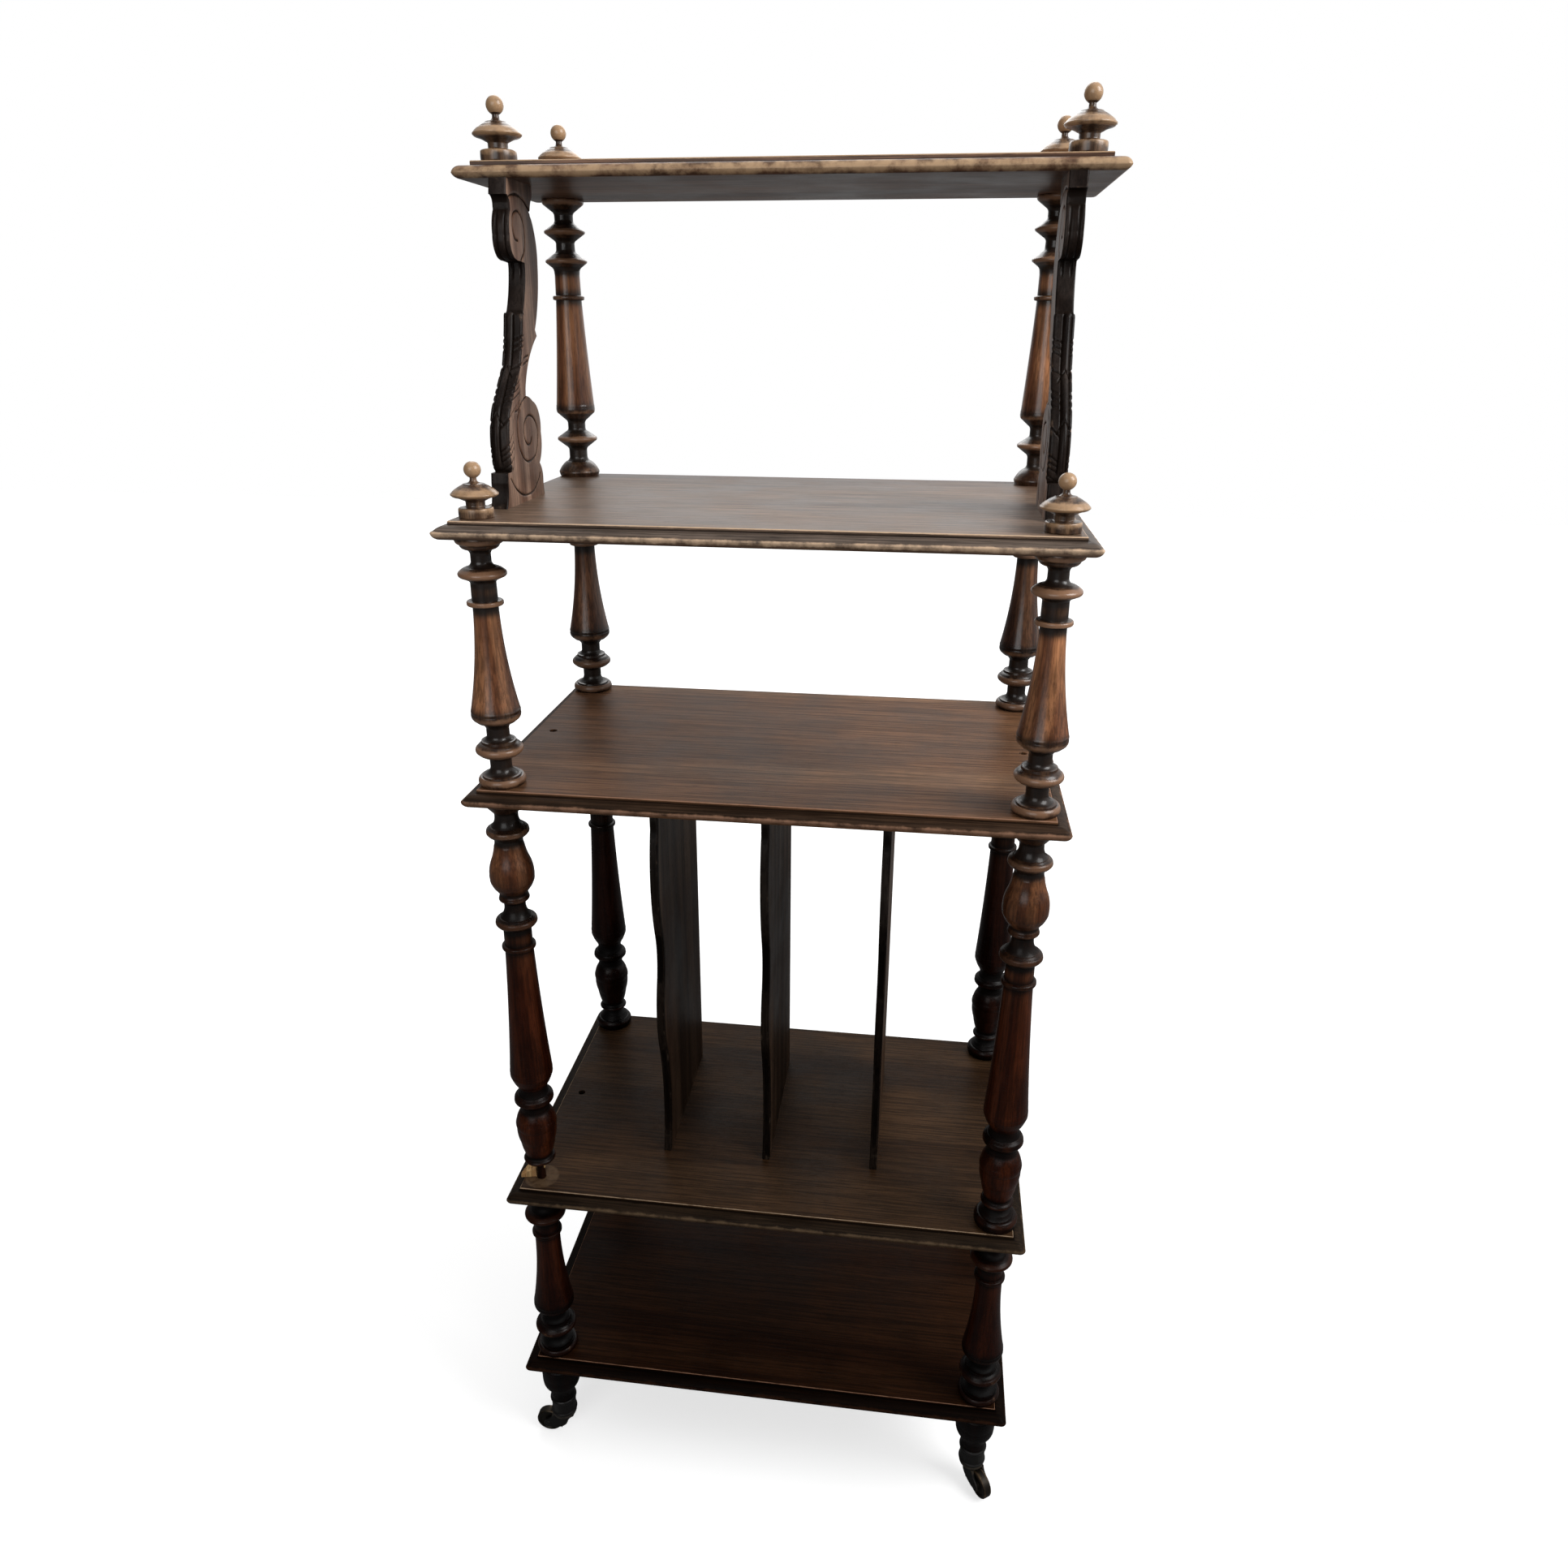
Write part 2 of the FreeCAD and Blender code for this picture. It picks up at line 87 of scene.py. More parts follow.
# How a turning's wear is found: the length of outline that a ring is compared with, how far it
# stands out where it is rubbed most, and how deep the turning is where its colour is darkest
WEAR_REACH = 7.0
WEAR_DEPTH = 3.2
RING_DEPTH = 1.6

# How finely shapes are cut: a turning along its outline and round its axis, and an upright board
# across a rounded arris and across its front
TURNING_STEP = 0.9
SMALL_STEP = 0.6
TURNING_CUTS = 64
SMALL_CUTS = 32
WHEEL_CUTS = 96
ARRIS_CUTS = 5
FRONT_CUTS = 23


# Curves and grids

def along_arcs(points, position):
    """Points at positions along a chain of arcs; whole positions are the chain's own points.

    Each row of the chain is two coordinates and the bulge of the arc that ends there: its rise
    as a share of its chord, positive to the right of the way. With bulge b the arc turns by twice
    h = 2 atan(2b). At the angle a from its middle a point lies 0.5 + 0.5 sin(a) / sin(h) along the
    chord and 0.5 (cos(a) - cos(h)) / sin(h) beside it, as shares of the chord."""
    points = np.asarray(points, float)
    first = np.clip(np.floor(position).astype(int), 0, len(points) - 2)
    share = (position - first)[:, None]
    start = points[first, :2]
    chord = points[first + 1, :2] - start
    bulge = points[first + 1, 2:3]
    bulge = np.where(np.abs(bulge) < LEAST_BULGE, LEAST_BULGE, bulge)
    half_turn = 2 * np.arctan(2 * bulge)
    angle = half_turn * (2 * share - 1)
    ahead = 0.5 + 0.5 * np.sin(angle) / np.sin(half_turn)
    aside = 0.5 * (np.cos(angle) - np.cos(half_turn)) / np.sin(half_turn)
    right = np.stack([chord[:, 1], -chord[:, 0]], -1)
    return start + chord * ahead + right * aside


def spread(points, step):
    """Positions along a chain so that its arcs are cut into pieces of about one step."""
    points = np.asarray(points, float)
    lengths = np.linalg.norm(np.diff(points[:, :2], axis=0), axis=1) * (1 + np.abs(points[1:, 2]))
    counts = np.maximum(1, np.ceil(lengths / step)).astype(int)
    parts = [k + np.arange(n) / n for k, n in enumerate(counts)]
    return np.append(np.concatenate(parts), len(counts))


def grid_faces(rows, columns, wrap_rows=False, wrap_columns=False):
    """Quads between neighbours of a grid of points, row by row."""
    row, column = np.meshgrid(
        np.arange(rows if wrap_rows else rows - 1),
        np.arange(columns if wrap_columns else columns - 1),
        indexing="ij",
    )
    next_row = (row + 1) % rows
    next_column = (column + 1) % columns
    corners = (
        row * columns + column,
        row * columns + next_column,
        next_row * columns + next_column,
        next_row * columns + column,
    )
    return np.stack(corners, -1).reshape(-1, 4)


def merged(points, faces):
    """Points without doubles, and faces as loops and counts, without corners that fell together."""
    keys = np.round(points / MERGE_DISTANCE).astype(np.int64)
    _, first, index = np.unique(keys, axis=0, return_index=True, return_inverse=True)
    corners = index.reshape(-1)[faces]
    kept = corners != np.roll(corners, -1, axis=1)
    kept[kept.sum(1) < 3] = False
    counts = kept.sum(1)
    return points[first], corners[kept], counts[counts > 0], first


def convexity(points, loops, counts, normals):
    """How far each point stands out of its smoothed surroundings, from -1 in a groove to 1 on an
    arris: each point goes to the mean of its neighbours, a number of times."""
    starts = np.cumsum(counts) - counts
    following = np.arange(len(loops)) + 1
    following[starts + counts - 1] = starts
    one, two = loops, loops[following]
    links = np.bincount(one, minlength=len(points)) + np.bincount(two, minlength=len(points))
    links = np.maximum(links, 1)
    smooth = points.copy()
    for _ in range(SMOOTHING_ROUNDS):
        for axis in range(3):
            total = np.bincount(one, smooth[two, axis], len(points))
            total += np.bincount(two, smooth[one, axis], len(points))
            smooth[:, axis] = total / links
    return np.clip(((points - smooth) * normals).sum(1) / (ARRIS_RISE * MM), -1, 1)


def set_attribute(mesh, name, values):
    mesh.attributes.new(name, "FLOAT", "POINT").data.foreach_set("value", values.astype(np.float32))


def piece(name, parts, body, material, nodes):
    """A mesh from grids of points and faces, with its wear attribute, riding on a body.

    A part is its points and faces, then its wear where it knows it, then its shade: old polish and
    painted shade.
    A piece whose parts don't all know their wear takes it from the mesh's own convexity."""
    shift = 0
    all_points, all_faces = [], []
    for part in parts:
        all_points.append(part[0])
        all_faces.append(part[1] + shift)
        shift += len(part[0])
    points, loops, counts, first = merged(np.concatenate(all_points), np.concatenate(all_faces))
    mesh = bpy.data.meshes.new(name)
    mesh.vertices.add(len(points))
    mesh.vertices.foreach_set("co", points.astype(np.float32).ravel())
    mesh.loops.add(len(loops))
    mesh.loops.foreach_set("vertex_index", loops.astype(np.int32))
    mesh.polygons.add(len(counts))
    mesh.polygons.foreach_set("loop_start", (np.cumsum(counts) - counts).astype(np.int32))
    mesh.update(calc_edges=True)
    mesh.shade_smooth()
    mesh.set_sharp_from_angle(angle=SHARP_ANGLE)
    if all(len(part) > 2 for part in parts):
        shade = np.concatenate([part[-1] for part in parts])[first]
        set_attribute(mesh, "shade", shade)
    if all(len(part) == 4 for part in parts):
        wear = np.concatenate([part[2] for part in parts])[first]
    else:
        normals = np.empty(len(points) * 3, np.float32)
        mesh.vertex_normals.foreach_get("vector", normals)
        wear = convexity(points, loops, counts, normals.reshape(-1, 3))
    set_attribute(mesh, "wear", wear)
    mesh.materials.append(material)
    made = bpy.data.objects.new(name, mesh)
    bpy.context.scene.collection.objects.link(made)
    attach(made, body)
    if nodes:
        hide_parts(*nodes)
    return made


def ring_wear(outline):
    """How far each ring of a turning stands out of its smoothed outline, from -1 to 1, and how close
    it is to rings at all, from 0 to 1: hands and cloths rub the noses of the rings, dirt stays in the
    hollows, and the colour is darkened round both."""
    radius, height = outline.T
    length = np.linalg.norm(np.gradient(outline, axis=0), axis=1)
    weight = np.exp(-((height[:, None] - height) / WEAR_REACH) ** 2) * length
    away = radius - weight @ radius / weight.sum(1)
    spread_out = np.sqrt(weight @ away**2 / weight.sum(1))
    return np.clip(away / WEAR_DEPTH, -1, 1), np.clip(spread_out / RING_DEPTH, 0, 1)


def turning(profile, place, step=TURNING_STEP, cuts=TURNING_CUTS, height_share=1.0, radius_share=1.0):
    """A solid of revolution about an upright axis: the profile, in millimetres, is (height, radius,
    bulge) from the bottom up, and each of its points goes round the axis in a ring."""
    chain = np.array([(radius, height, bulge) for height, radius, bulge in profile], float)
    outline = along_arcs(chain, spread(chain, step))
    wear, shade = (np.concatenate([[0], values, [0]]) for values in ring_wear(outline))
    outline = np.vstack([[0, outline[0, 1]], outline, [0, outline[-1, 1]]]) * MM
    angle = np.linspace(0, FULL_TURN, cuts, endpoint=False)
    radius = outline[:, :1] * radius_share
    x = place[0] + radius * np.cos(angle)
    y = place[1] + radius * np.sin(angle)
    z = place[2] + outline[:, 1:] * height_share + 0 * angle
    points = np.stack([x, y, z], -1).reshape(-1, 3)
    faces = grid_faces(len(outline), cuts, wrap_columns=True)
    return points, faces, np.repeat(wear, cuts), np.repeat(shade, cuts)


# Turned outlines in millimetres, from the bottom up: height, radius and bulge

# Columns of the middle tier, and those of the bottom tier with a thicker neck and base
SHORT_COLUMN_HEIGHT = 250.0
SHORT_COLUMN = (
    (0, 22.0, 0), (9.0, 21.6, 0.22), (9.0, 19.6, 0), (10.6, 19.3, 0), (20.5, 10.9, -0.22),
    (27, 10.9, 0), (30, 14.6, -0.15), (33.6, 21.6, 0.1), (41.2, 21.6, 0.30), (44.5, 17.6, 0.08),
    (47, 17.2, 0), (52, 11.4, -0.2), (60, 11.3, 0), (66.5, 19.0, -0.12), (69.5, 22.6, 0),
    (76.5, 24.2, 0.14), (80, 24.0, 0.1), (179, 12.3, -0.0235), (183.2, 12.3, 0), (183.8, 16.6, 0),
    (186, 17.4, 0.2), (188.2, 16.6, 0.2), (188.8, 12.4, 0), (205.6, 12.2, 0), (208.5, 15.2, -0.1),
    (211.2, 21.4, 0), (216.8, 21.4, 0.30), (220.2, 15.8, 0.05), (225.5, 9.7, -0.18), (232, 9.6, 0),
    (237.5, 15.2, -0.2), (238, 16.2, 0), (241.5, 18.9, 0.1), (243.2, 21.6, 0), (250, 22.6, 0.15),
)
BOTTOM_COLUMN = (
    (0, 23.3, 0), (9.0, 22.9, 0.22), (9.0, 20.8, 0), (10.6, 20.5, 0), (20.5, 11.6, -0.22),
    (27, 11.6, 0), (30, 15.5, -0.15), (33.6, 22.9, 0.1), (41.2, 22.9, 0.30), (44.5, 18.7, 0.08),
    (47, 18.2, 0), (52, 12.1, -0.2), (60, 12.0, 0), (66.5, 20.1, -0.12), (69.5, 23.2, 0),
    (76.5, 24.2, 0.14), (80, 24.0, 0.1), (179, 15.0, -0.0235), (183.2, 14.9, 0), (183.8, 17.0, 0),
    (186, 17.6, 0.2), (188.2, 17.0, 0.2), (188.8, 14.7, 0), (205.6, 14.4, 0), (208.5, 16.6, -0.1),
    (211.2, 22.7, 0), (216.8, 22.7, 0.30), (220.2, 16.7, 0.05), (225.5, 10.3, -0.18),
    (232, 10.2, 0), (237.5, 16.1, -0.2), (238, 17.2, 0), (241.5, 20.0, 0.1), (243.2, 22.9, 0),
    (250, 23.9, 0.15),
)

# Rear columns under the top shelf
DISPLAY_COLUMN = (
    (0, 22.2, 0), (3.0, 23.2, 0), (6.6, 22.8, 0.15), (16.2, 14.6, 0.06), (21.5, 10.4, -0.16),
    (29.5, 10.4, 0), (33.5, 13.2, -0.12), (39.8, 21.6, 0), (44.2, 21.6, 0.30), (50.4, 12.2, 0),
    (54.6, 10.0, -0.16), (59.5, 10.0, 0), (63.6, 12.6, -0.12), (70.4, 20.4, 0), (73.0, 22.0, 0.12),
    (77.0, 22.0, 0.05), (80, 21.6, 0.05), (191, 14.3, -0.004), (191.6, 16.6, 0), (193.6, 17.5, 0.2),
    (195.8, 16.6, 0.2), (196.4, 14.2, 0), (217, 13.8, 0), (221, 14.2, 0), (225, 16.6, -0.1),
    (229, 22.0, 0), (232.4, 22.0, 0.30), (238.6, 13.4, 0), (243, 10.4, -0.15), (249, 10.2, 0),
    (252.2, 12.4, -0.1), (258.4, 21.4, 0), (262, 21.4, 0.30), (267.6, 13.2, 0),
    (271.4, 10.2, -0.12), (276.4, 10.2, 0), (280.6, 12.8, -0.12), (287, 21.4, 0),
    (289.6, 22.8, 0.1), (292, 22.4, 0.05),
)

# Columns of the music tier, the tallest
MUSIC_COLUMN = (
    (0, 22.6, 0), (2.0, 23.8, 0.1), (6.5, 24.2, 0.08), (11.0, 23.0, 0.15), (13.4, 20.2, 0.12),
    (13.2, 19.2, 0), (13.9, 18.9, 0), (18.6, 15.6, -0.06), (23.6, 12.2, -0.1), (26.4, 11.6, 0),
    (28.6, 15.4, -0.1), (31.5, 18.4, 0.2), (34.4, 15.6, 0.1), (36, 14.6, 0), (58, 20.0, 0.03),
    (78, 22.6, 0.05), (88, 22.2, 0.1), (99, 17.6, 0.06), (104, 16.4, -0.12), (110.0, 17.8, -0.1),
    (113.6, 20.8, 0.05), (117.8, 22.0, 0.2), (121.6, 20.6, 0.15), (123.6, 18.4, -0.03),
    (124.2, 17.8, 0), (124.2, 17.0, 0), (131, 15.8, -0.06), (135, 17.0, -0.1), (140, 19.6, -0.05),
    (149, 23.2, 0.02), (154, 23.8, 0.08), (160, 23.5, 0.05), (172, 22.7, 0.01), (309, 15.4, -0.005),
    (315, 15.3, 0), (315.6, 17.2, 0), (317.8, 18.0, 0.2), (320.2, 17.2, 0.2), (321, 15.0, 0),
    (341, 14.9, 0), (343.2, 18.2, -0.05), (346.0, 21.2, 0.1), (349.0, 22.0, 0.2),
    (352.0, 20.6, 0.15), (353.8, 18.2, -0.03), (354.4, 17.4, 0), (354.4, 16.6, 0),
    (368, 11.3, -0.10), (371, 11.5, 0), (374.5, 15.0, -0.1), (378, 15.6, 0.25), (381, 14.6, 0.1),
    (384.4, 15.7, -0.1), (388.4, 18.4, 0), (394, 21.6, 0.05), (401, 23.2, 0.08), (406, 23.3, 0.04),
    (415, 22.2, 0.03), (422, 20.0, 0.02), (438, 15.8, -0.03), (445, 14.8, -0.06),
    (449.6, 18.2, -0.05), (452.2, 21.2, 0.1), (455.2, 22.0, 0.2), (458.2, 20.6, 0.15),
    (460.0, 18.2, -0.03), (460.6, 17.4, 0), (460.6, 16.6, 0), (471, 12.2, -0.10), (474, 12.2, 0),
    (478, 14.6, -0.1), (486.5, 21.6, 0), (489, 22.8, 0.1), (492, 22.4, 0.05),
)

# A finial, and how much of its top is a ball that hands rub
FINIAL_HEIGHT = 56.0
FINIAL_RADIUS = 23.3
BALL_HEIGHT = 14.5
BALL_WEAR = 1.15
FINIAL = (
    (0, 15.8, 0), (1.0, 17.0, 0.1), (9.2, 17.0, 0.03), (10.4, 15.8, 0.15), (11.2, 10.0, 0),
    (12.0, 9.4, -0.1), (16.2, 9.4, 0), (17.8, 11.8, -0.1), (21.0, 19.8, -0.04), (22.6, 22.5, 0.1),
    (23.8, 23.2, 0.2), (24.9, 22.4, 0.2), (29.5, 17.2, 0.06), (33.2, 10.8, 0.03), (34.0, 9.4, 0.2),
    (34.2, 7.8, 0), (35.2, 5.4, -0.1), (38.4, 3.3, -0.15), (39.8, 3.2, 0), (41.2, 5.1, 0),
    (47.7, 8.3, 0.1145), (56, 0, 0.207),
)

# A foot, and the metal cup round its lower end
FOOT = (
    (0, 14.4, 0), (1.0, 15.2, 0.1), (8.5, 15.0, 0), (14.5, 16.8, -0.05), (24.0, 21.4, -0.03),
    (31.0, 23.6, 0.06), (41.0, 23.9, 0.02), (56.0, 23.8, 0.02), (59.8, 22.2, 0.15),
    (64.8, 17.8, -0.1), (67.6, 17.6, 0), (69.6, 20.0, 0.15), (74.0, 21.0, 0.2),
)
CUP = (
    (0, 14.6, 0), (1.2, 16.0, 0.2), (3.6, 16.3, 0.2), (5.0, 15.2, 0), (21.0, 15.6, 0), (22.4, 16.3, 0),
    (25.4, 16.3, 0.2), (26.5, 15.4, 0),
)

# A fork's crown, and along their own axis a wheel and the rivet that holds it
CROWN = (
    (-4, 9.0, 0), (-1.0, 12.0, -0.2), (0, 14.6, 0), (0.8, 15.4, 0.2), (3.2, 15.4, 0.1), (4.0, 14.6, 0.2),
    (4.0, 4.0, 0), (9.2, 4.0, 0),
)
WHEEL = (
    (-5.9, 2.6, 0), (-5.9, 4.6, 0), (-4.9, 5.6, 0.2), (-4.6, 11.6, 0), (-5.7, 12.8, 0),
    (-5.7, 14.8, 0), (-3.8, 16.9, 0.15), (3.8, 16.9, 0.01), (5.7, 14.8, 0.15), (5.7, 12.8, 0),
    (4.6, 11.6, 0), (4.9, 5.6, 0), (5.9, 4.6, 0.2), (5.9, 2.6, 0), (-5.9, 2.6, 0),
)
RIVET = (
    (-10.3, 1.0, 0), (-9.9, 2.6, 0.12), (-9.5, 3.2, 0.1), (-9.4, 2.4, 0), (9.4, 2.4, 0),
    (9.5, 3.2, 0), (9.9, 2.6, 0.1), (10.3, 1.0, 0.12),
)

# What is left of the front left music column's base: its bare tenon and a splinter beside it, and
# the section of a wedge of the base ring, as radius and height
BREAK_HEIGHT = 26.0
TENON = ((0, 5.2, 0), (9, 4.9, 0), (18, 5.2, 0), (28, 5.6, 0))
SPLINTER = ((19.0, 0.3, 0), (27.0, 2.2, 0))
SPLINTER_PLACE = (7.0, -6.5)
SPLINTER_CUTS = 8
WEDGE = ((6.0, 0), (24.0, 0), (24.2, 1.2), (24.1, 4.2), (20, 7.0), (15, 10.4), (10, 13.4), (6.2, 14))
WEDGE_START = math.radians(122)
WEDGE_TURN = math.radians(70)
WEDGE_CUTS = 40

# Section of a shelf's moulded edge in millimetres, from the underside out and over to the top:
# distance out from the widest line, height above the underside, bulge. Its sixth point is the foot
# of the step and its seventh the step's top. The reach is how far round the nose hands rub it.
EDGE = (
    (-22, 0, 0), (-5.4, 0, 0), (0, 6, 0.15), (-2.0, 7.6, 0.2), (-13.1, 12.4, 0.10), (-13.5, 12.1, 0),
    (-13.5, 15.0, 0), (-14.5, 16, 0.2), (-30, 16, 0),
)
TOP_EDGE = (
    (-22, 0, 0), (-5.4, 0, 0), (0, 4.6, 0.12), (-9.0, 11.0, 0.20), (-14.6, 11.4, 0.02), (-15.0, 11.0, 0),
    (-15.0, 15.0, 0), (-16.0, 16, 0.2), (-30, 16, 0),
)
NOSE_REACH = 3.4
TOP_NOSE_REACH = 9.0
EDGE_STEP = 0.7
BOARD_CUTS = 40
CORNER_RADIUS = 5.0
CORNER_CUTS = 8

# Wear of a board's edge in millimetres: where the nose and the step's arris are rubbed, how wide the
# arris and the dirt under it are, and how much each is rubbed
NOSE_HEIGHT = 6.0
NOSE_WEAR = 0.88
ARRIS_HEIGHT = 15.6
ARRIS_INSET = 0.4
ARRIS_WIDTH = 0.75
ARRIS_WEAR = 1.7
STEP_DIRT_WIDTH = 1.3

# Peg holes in the middle and music shelves, with a worn rim: height above the underside, radius
PEG_HOLE = ((-18, 4.0, 0), (15.4, 4.0, 0), (16.4, 5.0, 0), (20, 5.0, 0))
PEG_HOLE_INSET = 34.0
PEG_HOLE_CUTS = 40
PEG_HOLE_SHARP_ANGLE = math.radians(30)
MOULDING_RUN = 18.0

# Scroll bracket outline, from the foot up: share of the foot's depth behind its front edge, share
# of the bay's height, and the bulge of the stretch away from the board
BRACKET_FRONT = (
    (0.000, 0.000, 0), (0.060, 0.080, -0.08), (0.075, 0.112, 0), (0.172, 0.112, 0), (0.144, 0.185, 0.04),
    (0.247, 0.312, 0.08), (0.573, 0.438, 0.01), (0.722, 0.603, -0.03), (0.747, 0.599, 0),
    (0.902, 0.743, -0.06), (0.900, 0.760, 0), (0.770, 0.763, 0), (0.660, 0.770, 0.05),
    (0.580, 0.836, 0.18), (0.643, 0.911, 0.10), (0.641, 0.931, 0), (0.569, 0.952, -0.20), (0.604, 1.0, 0),
)
BRACKET_REAR = (
    (1.000, 0.000, 0), (0.990, 0.060, -0.06), (0.922, 0.112, 0.12), (1.014, 0.215, 0.14),
    (0.855, 0.322, 0.22), (0.690, 0.342, 0.06), (0.700, 0.366, 0), (0.849, 0.459, -0.05),
    (1.097, 0.531, -0.04), (1.062, 0.550, 0), (1.261, 0.760, 0.07), (1.217, 0.870, 0.08),
    (1.147, 0.907, 0.06), (1.232, 0.966, -0.10), (1.242, 1.000, 0),
)
# Places along the front outline and the rear one that face each other across the board
BRACKET_STATIONS = (
    (0, 0), (1, 1.4), (2, 1.9), (3, 2), (4, 2.6), (5, 4.3), (5.35, 5), (5.45, 6), (6, 6.9), (6.75, 8.5),
    (7, 9.15), (8, 9.2), (9, 9.85), (10, 9.92), (11, 10), (12, 10.15), (13, 10.7), (14, 12.05),
    (15, 12.4), (16, 12.8), (17, 14),
)
FOOT_DEPTH = 114.0
BRACKET_HALF_THICKNESS = 8.5
BRACKET_ROUNDING = 1.6
BRACKET_STEP = 1.0
BRACKET_FACE_CUTS = 96

# Lines carved in a bracket's faces, in millimetres behind and above its front foot: the arch over
# the upper volute, the hook that winds into it, the lower spiral, the lobe under it, and the nicks
# behind the leaf
BRACKET_LINES = (
    ((65.6, 272), (76.7, 277.6), (93.3, 280.3), (110, 278), (121, 273), (131.7, 267)),
    ((89.7, 240.3), (82.2, 241.4), (78, 247.6), (77.5, 255.9), (82.2, 262.8), (93.3, 266.2), (103, 262.8),
     (109.4, 253), (109.2, 240.6), (104.4, 230.9), (94.7, 223.4)),
    ((85, 59.2), (80.8, 54.2), (72.5, 53.7), (65.6, 60), (64.2, 68.4), (69.7, 76.7), (82.2, 80.9),
     (94.7, 78), (103, 69.8), (104.4, 58.7), (96, 43.4), (85, 38.7), (71, 37.3), (58.6, 42), (50.3, 50.3),
     (46, 61.4), (46.7, 75.3), (53, 85), (65.6, 94.8), (76.7, 98.4)),
    ((18.3, 26.7), (26.7, 18.4), (37.8, 11.4), (51.7, 6.7), (68.3, 5.9), (82.2, 8.1), (96, 15.6),
     (103, 22.6)),
    ((64.2, 130.9), (76.7, 133.7), (93.3, 137.3)),
    ((68.3, 128), (80.8, 129.5), (92, 133)),
    ((40.6, 87.8), (50.3, 92.6), (59.4, 96.7)),
    ((42, 86.4), (51.7, 87.8), (60, 93.4)),
)

# The leaf folded over a bracket's front edge, in millimetres: height above the upper shelf and how
# far back it reaches there, and its veins: height at its border and at its rib, width and depth
LEAF_BORDER = (
    (33, 0), (38, 8), (50, 14), (66, 14), (80, 13), (88, 18), (95, 24), (108, 17), (118, 10), (134, 9),
    (150, 8), (165, 7), (174, 5), (179, 0),
)
LEAF_VEINS = (
    (157, 151.5, 0.9, 1.0), (153, 145, 0.9, 1.0), (149, 139, 0.9, 1.0), (133, 124, 1.1, 1.5),
    (117, 106.5, 0.9, 1.1), (111.5, 101, 0.9, 1.1), (105.5, 95, 0.9, 1.1), (97, 71, 1.1, 1.4),
    (70, 50, 0.9, 1.0), (61, 46, 0.9, 1.0), (55, 41, 0.9, 1.0), (46, 33, 1.0, 1.2),
)
LEAF_RISE = 1.2
LEAF_RIB_PLACE = 3.0
LINE_WIDTH = 0.95
LINE_DEPTH = 1.5

# The rib along a bracket's front, the groove at each of its sides and those between the reeds of the
# volutes' fronts: distance from the middle, width and rise. Chevrons cross the rib at two heights.
RIB = (0.0, 2.2, 1.3)
RIB_GROOVE = (3.6, 0.8, -1.5)
REED_GROOVE = (4.0, 0.9, -1.3)
CHEVRONS = (127.0, 86.0)
CHEVRON_SLOPE = 1.4
CHEVRON_WIDTH = 1.0
CHEVRON_DEPTH = 1.3
CHEVRON_REACH = 7.0

# Heights between which the carving of a bracket's front rises from nothing to whole, below and above
LEAF_ENDS = (33, 38), (178.5, 174)
RIB_ENDS = (36, 46), (179, 173)
REED_ENDS = (205, 214), (268, 260)

# Waved front edge of a divider, from the bottom up: share of the bay's height and the bulge
DIVIDER_WAVE = ((0, 0), (0.30, -0.065), (0.485, 0.085), (0.62, -0.085), (0.88, 0.075), (1.0, 0))
DIVIDER_DEPTH = 201.0
DIVIDER_HALF_THICKNESS = 4.5
DIVIDER_ROUNDING = 1.4
DIVIDER_STEP = 4.0
DIVIDER_FACE_CUTS = 24

# Caster side outlines in millimetres, from the wheel up: distance along the trail, height, bulge
CHEEK_REAR = ((17, 10.9, 0), (8.5, 11.6, 0.06), (-4.2, 20.0, 0.10), (-14.0, 35.2, -0.10))
CHEEK_FRONT = ((23, 10.9, 0), (27.3, 17.0, 0.2), (24.0, 22.6, 0.12), (14.4, 35.2, -0.12))
NECK_REAR = ((3.6, 13.6, 0), (-4.4, 20.0, 0.06), (-14.2, 35.2, -0.10))
NECK_FRONT = ((4.0, 14.0, 0), (8.55, 29.4, -0.13), (14.4, 35.2, -0.03))
CHEEK_HALF_THICKNESS = 1.6
CHEEK_ROUNDING = 1.2
CHEEK_PLACE = 7.8
NECK_HALF_WIDTH = 9.2
NECK_ROUNDING = 2.6
CASTER_STEP = 1.0
CASTER_FACE_CUTS = 16
RIVET_STEP = 0.4
CROWN_DROP = 4.3


def edge_wear(section, edge, reach):
    """Wear across a board's section, and its shade: the top step's arris is rubbed through, the nose is
    rubbed, dirt stays at the foot of the step, and the front thumb is darker, as painted shade."""
    out, height = section.T
    foot, step = edge[5], edge[6]
    arris = ridge(np.hypot(out - step[0] + ARRIS_INSET, height - ARRIS_HEIGHT), ARRIS_WIDTH)
    nose = ridge(np.hypot(out, 0.5 * (height - NOSE_HEIGHT)), reach)
    dirt = ridge(np.hypot(out - foot[0], height - foot[1]), STEP_DIRT_WIDTH)
    thumb = smooth_step(step[0] - 0.5, step[0] + 1.0, out) * smooth_step(2.0, 8.0, height)
    return ARRIS_WEAR * arris + NOSE_WEAR * nose - dirt, thumb


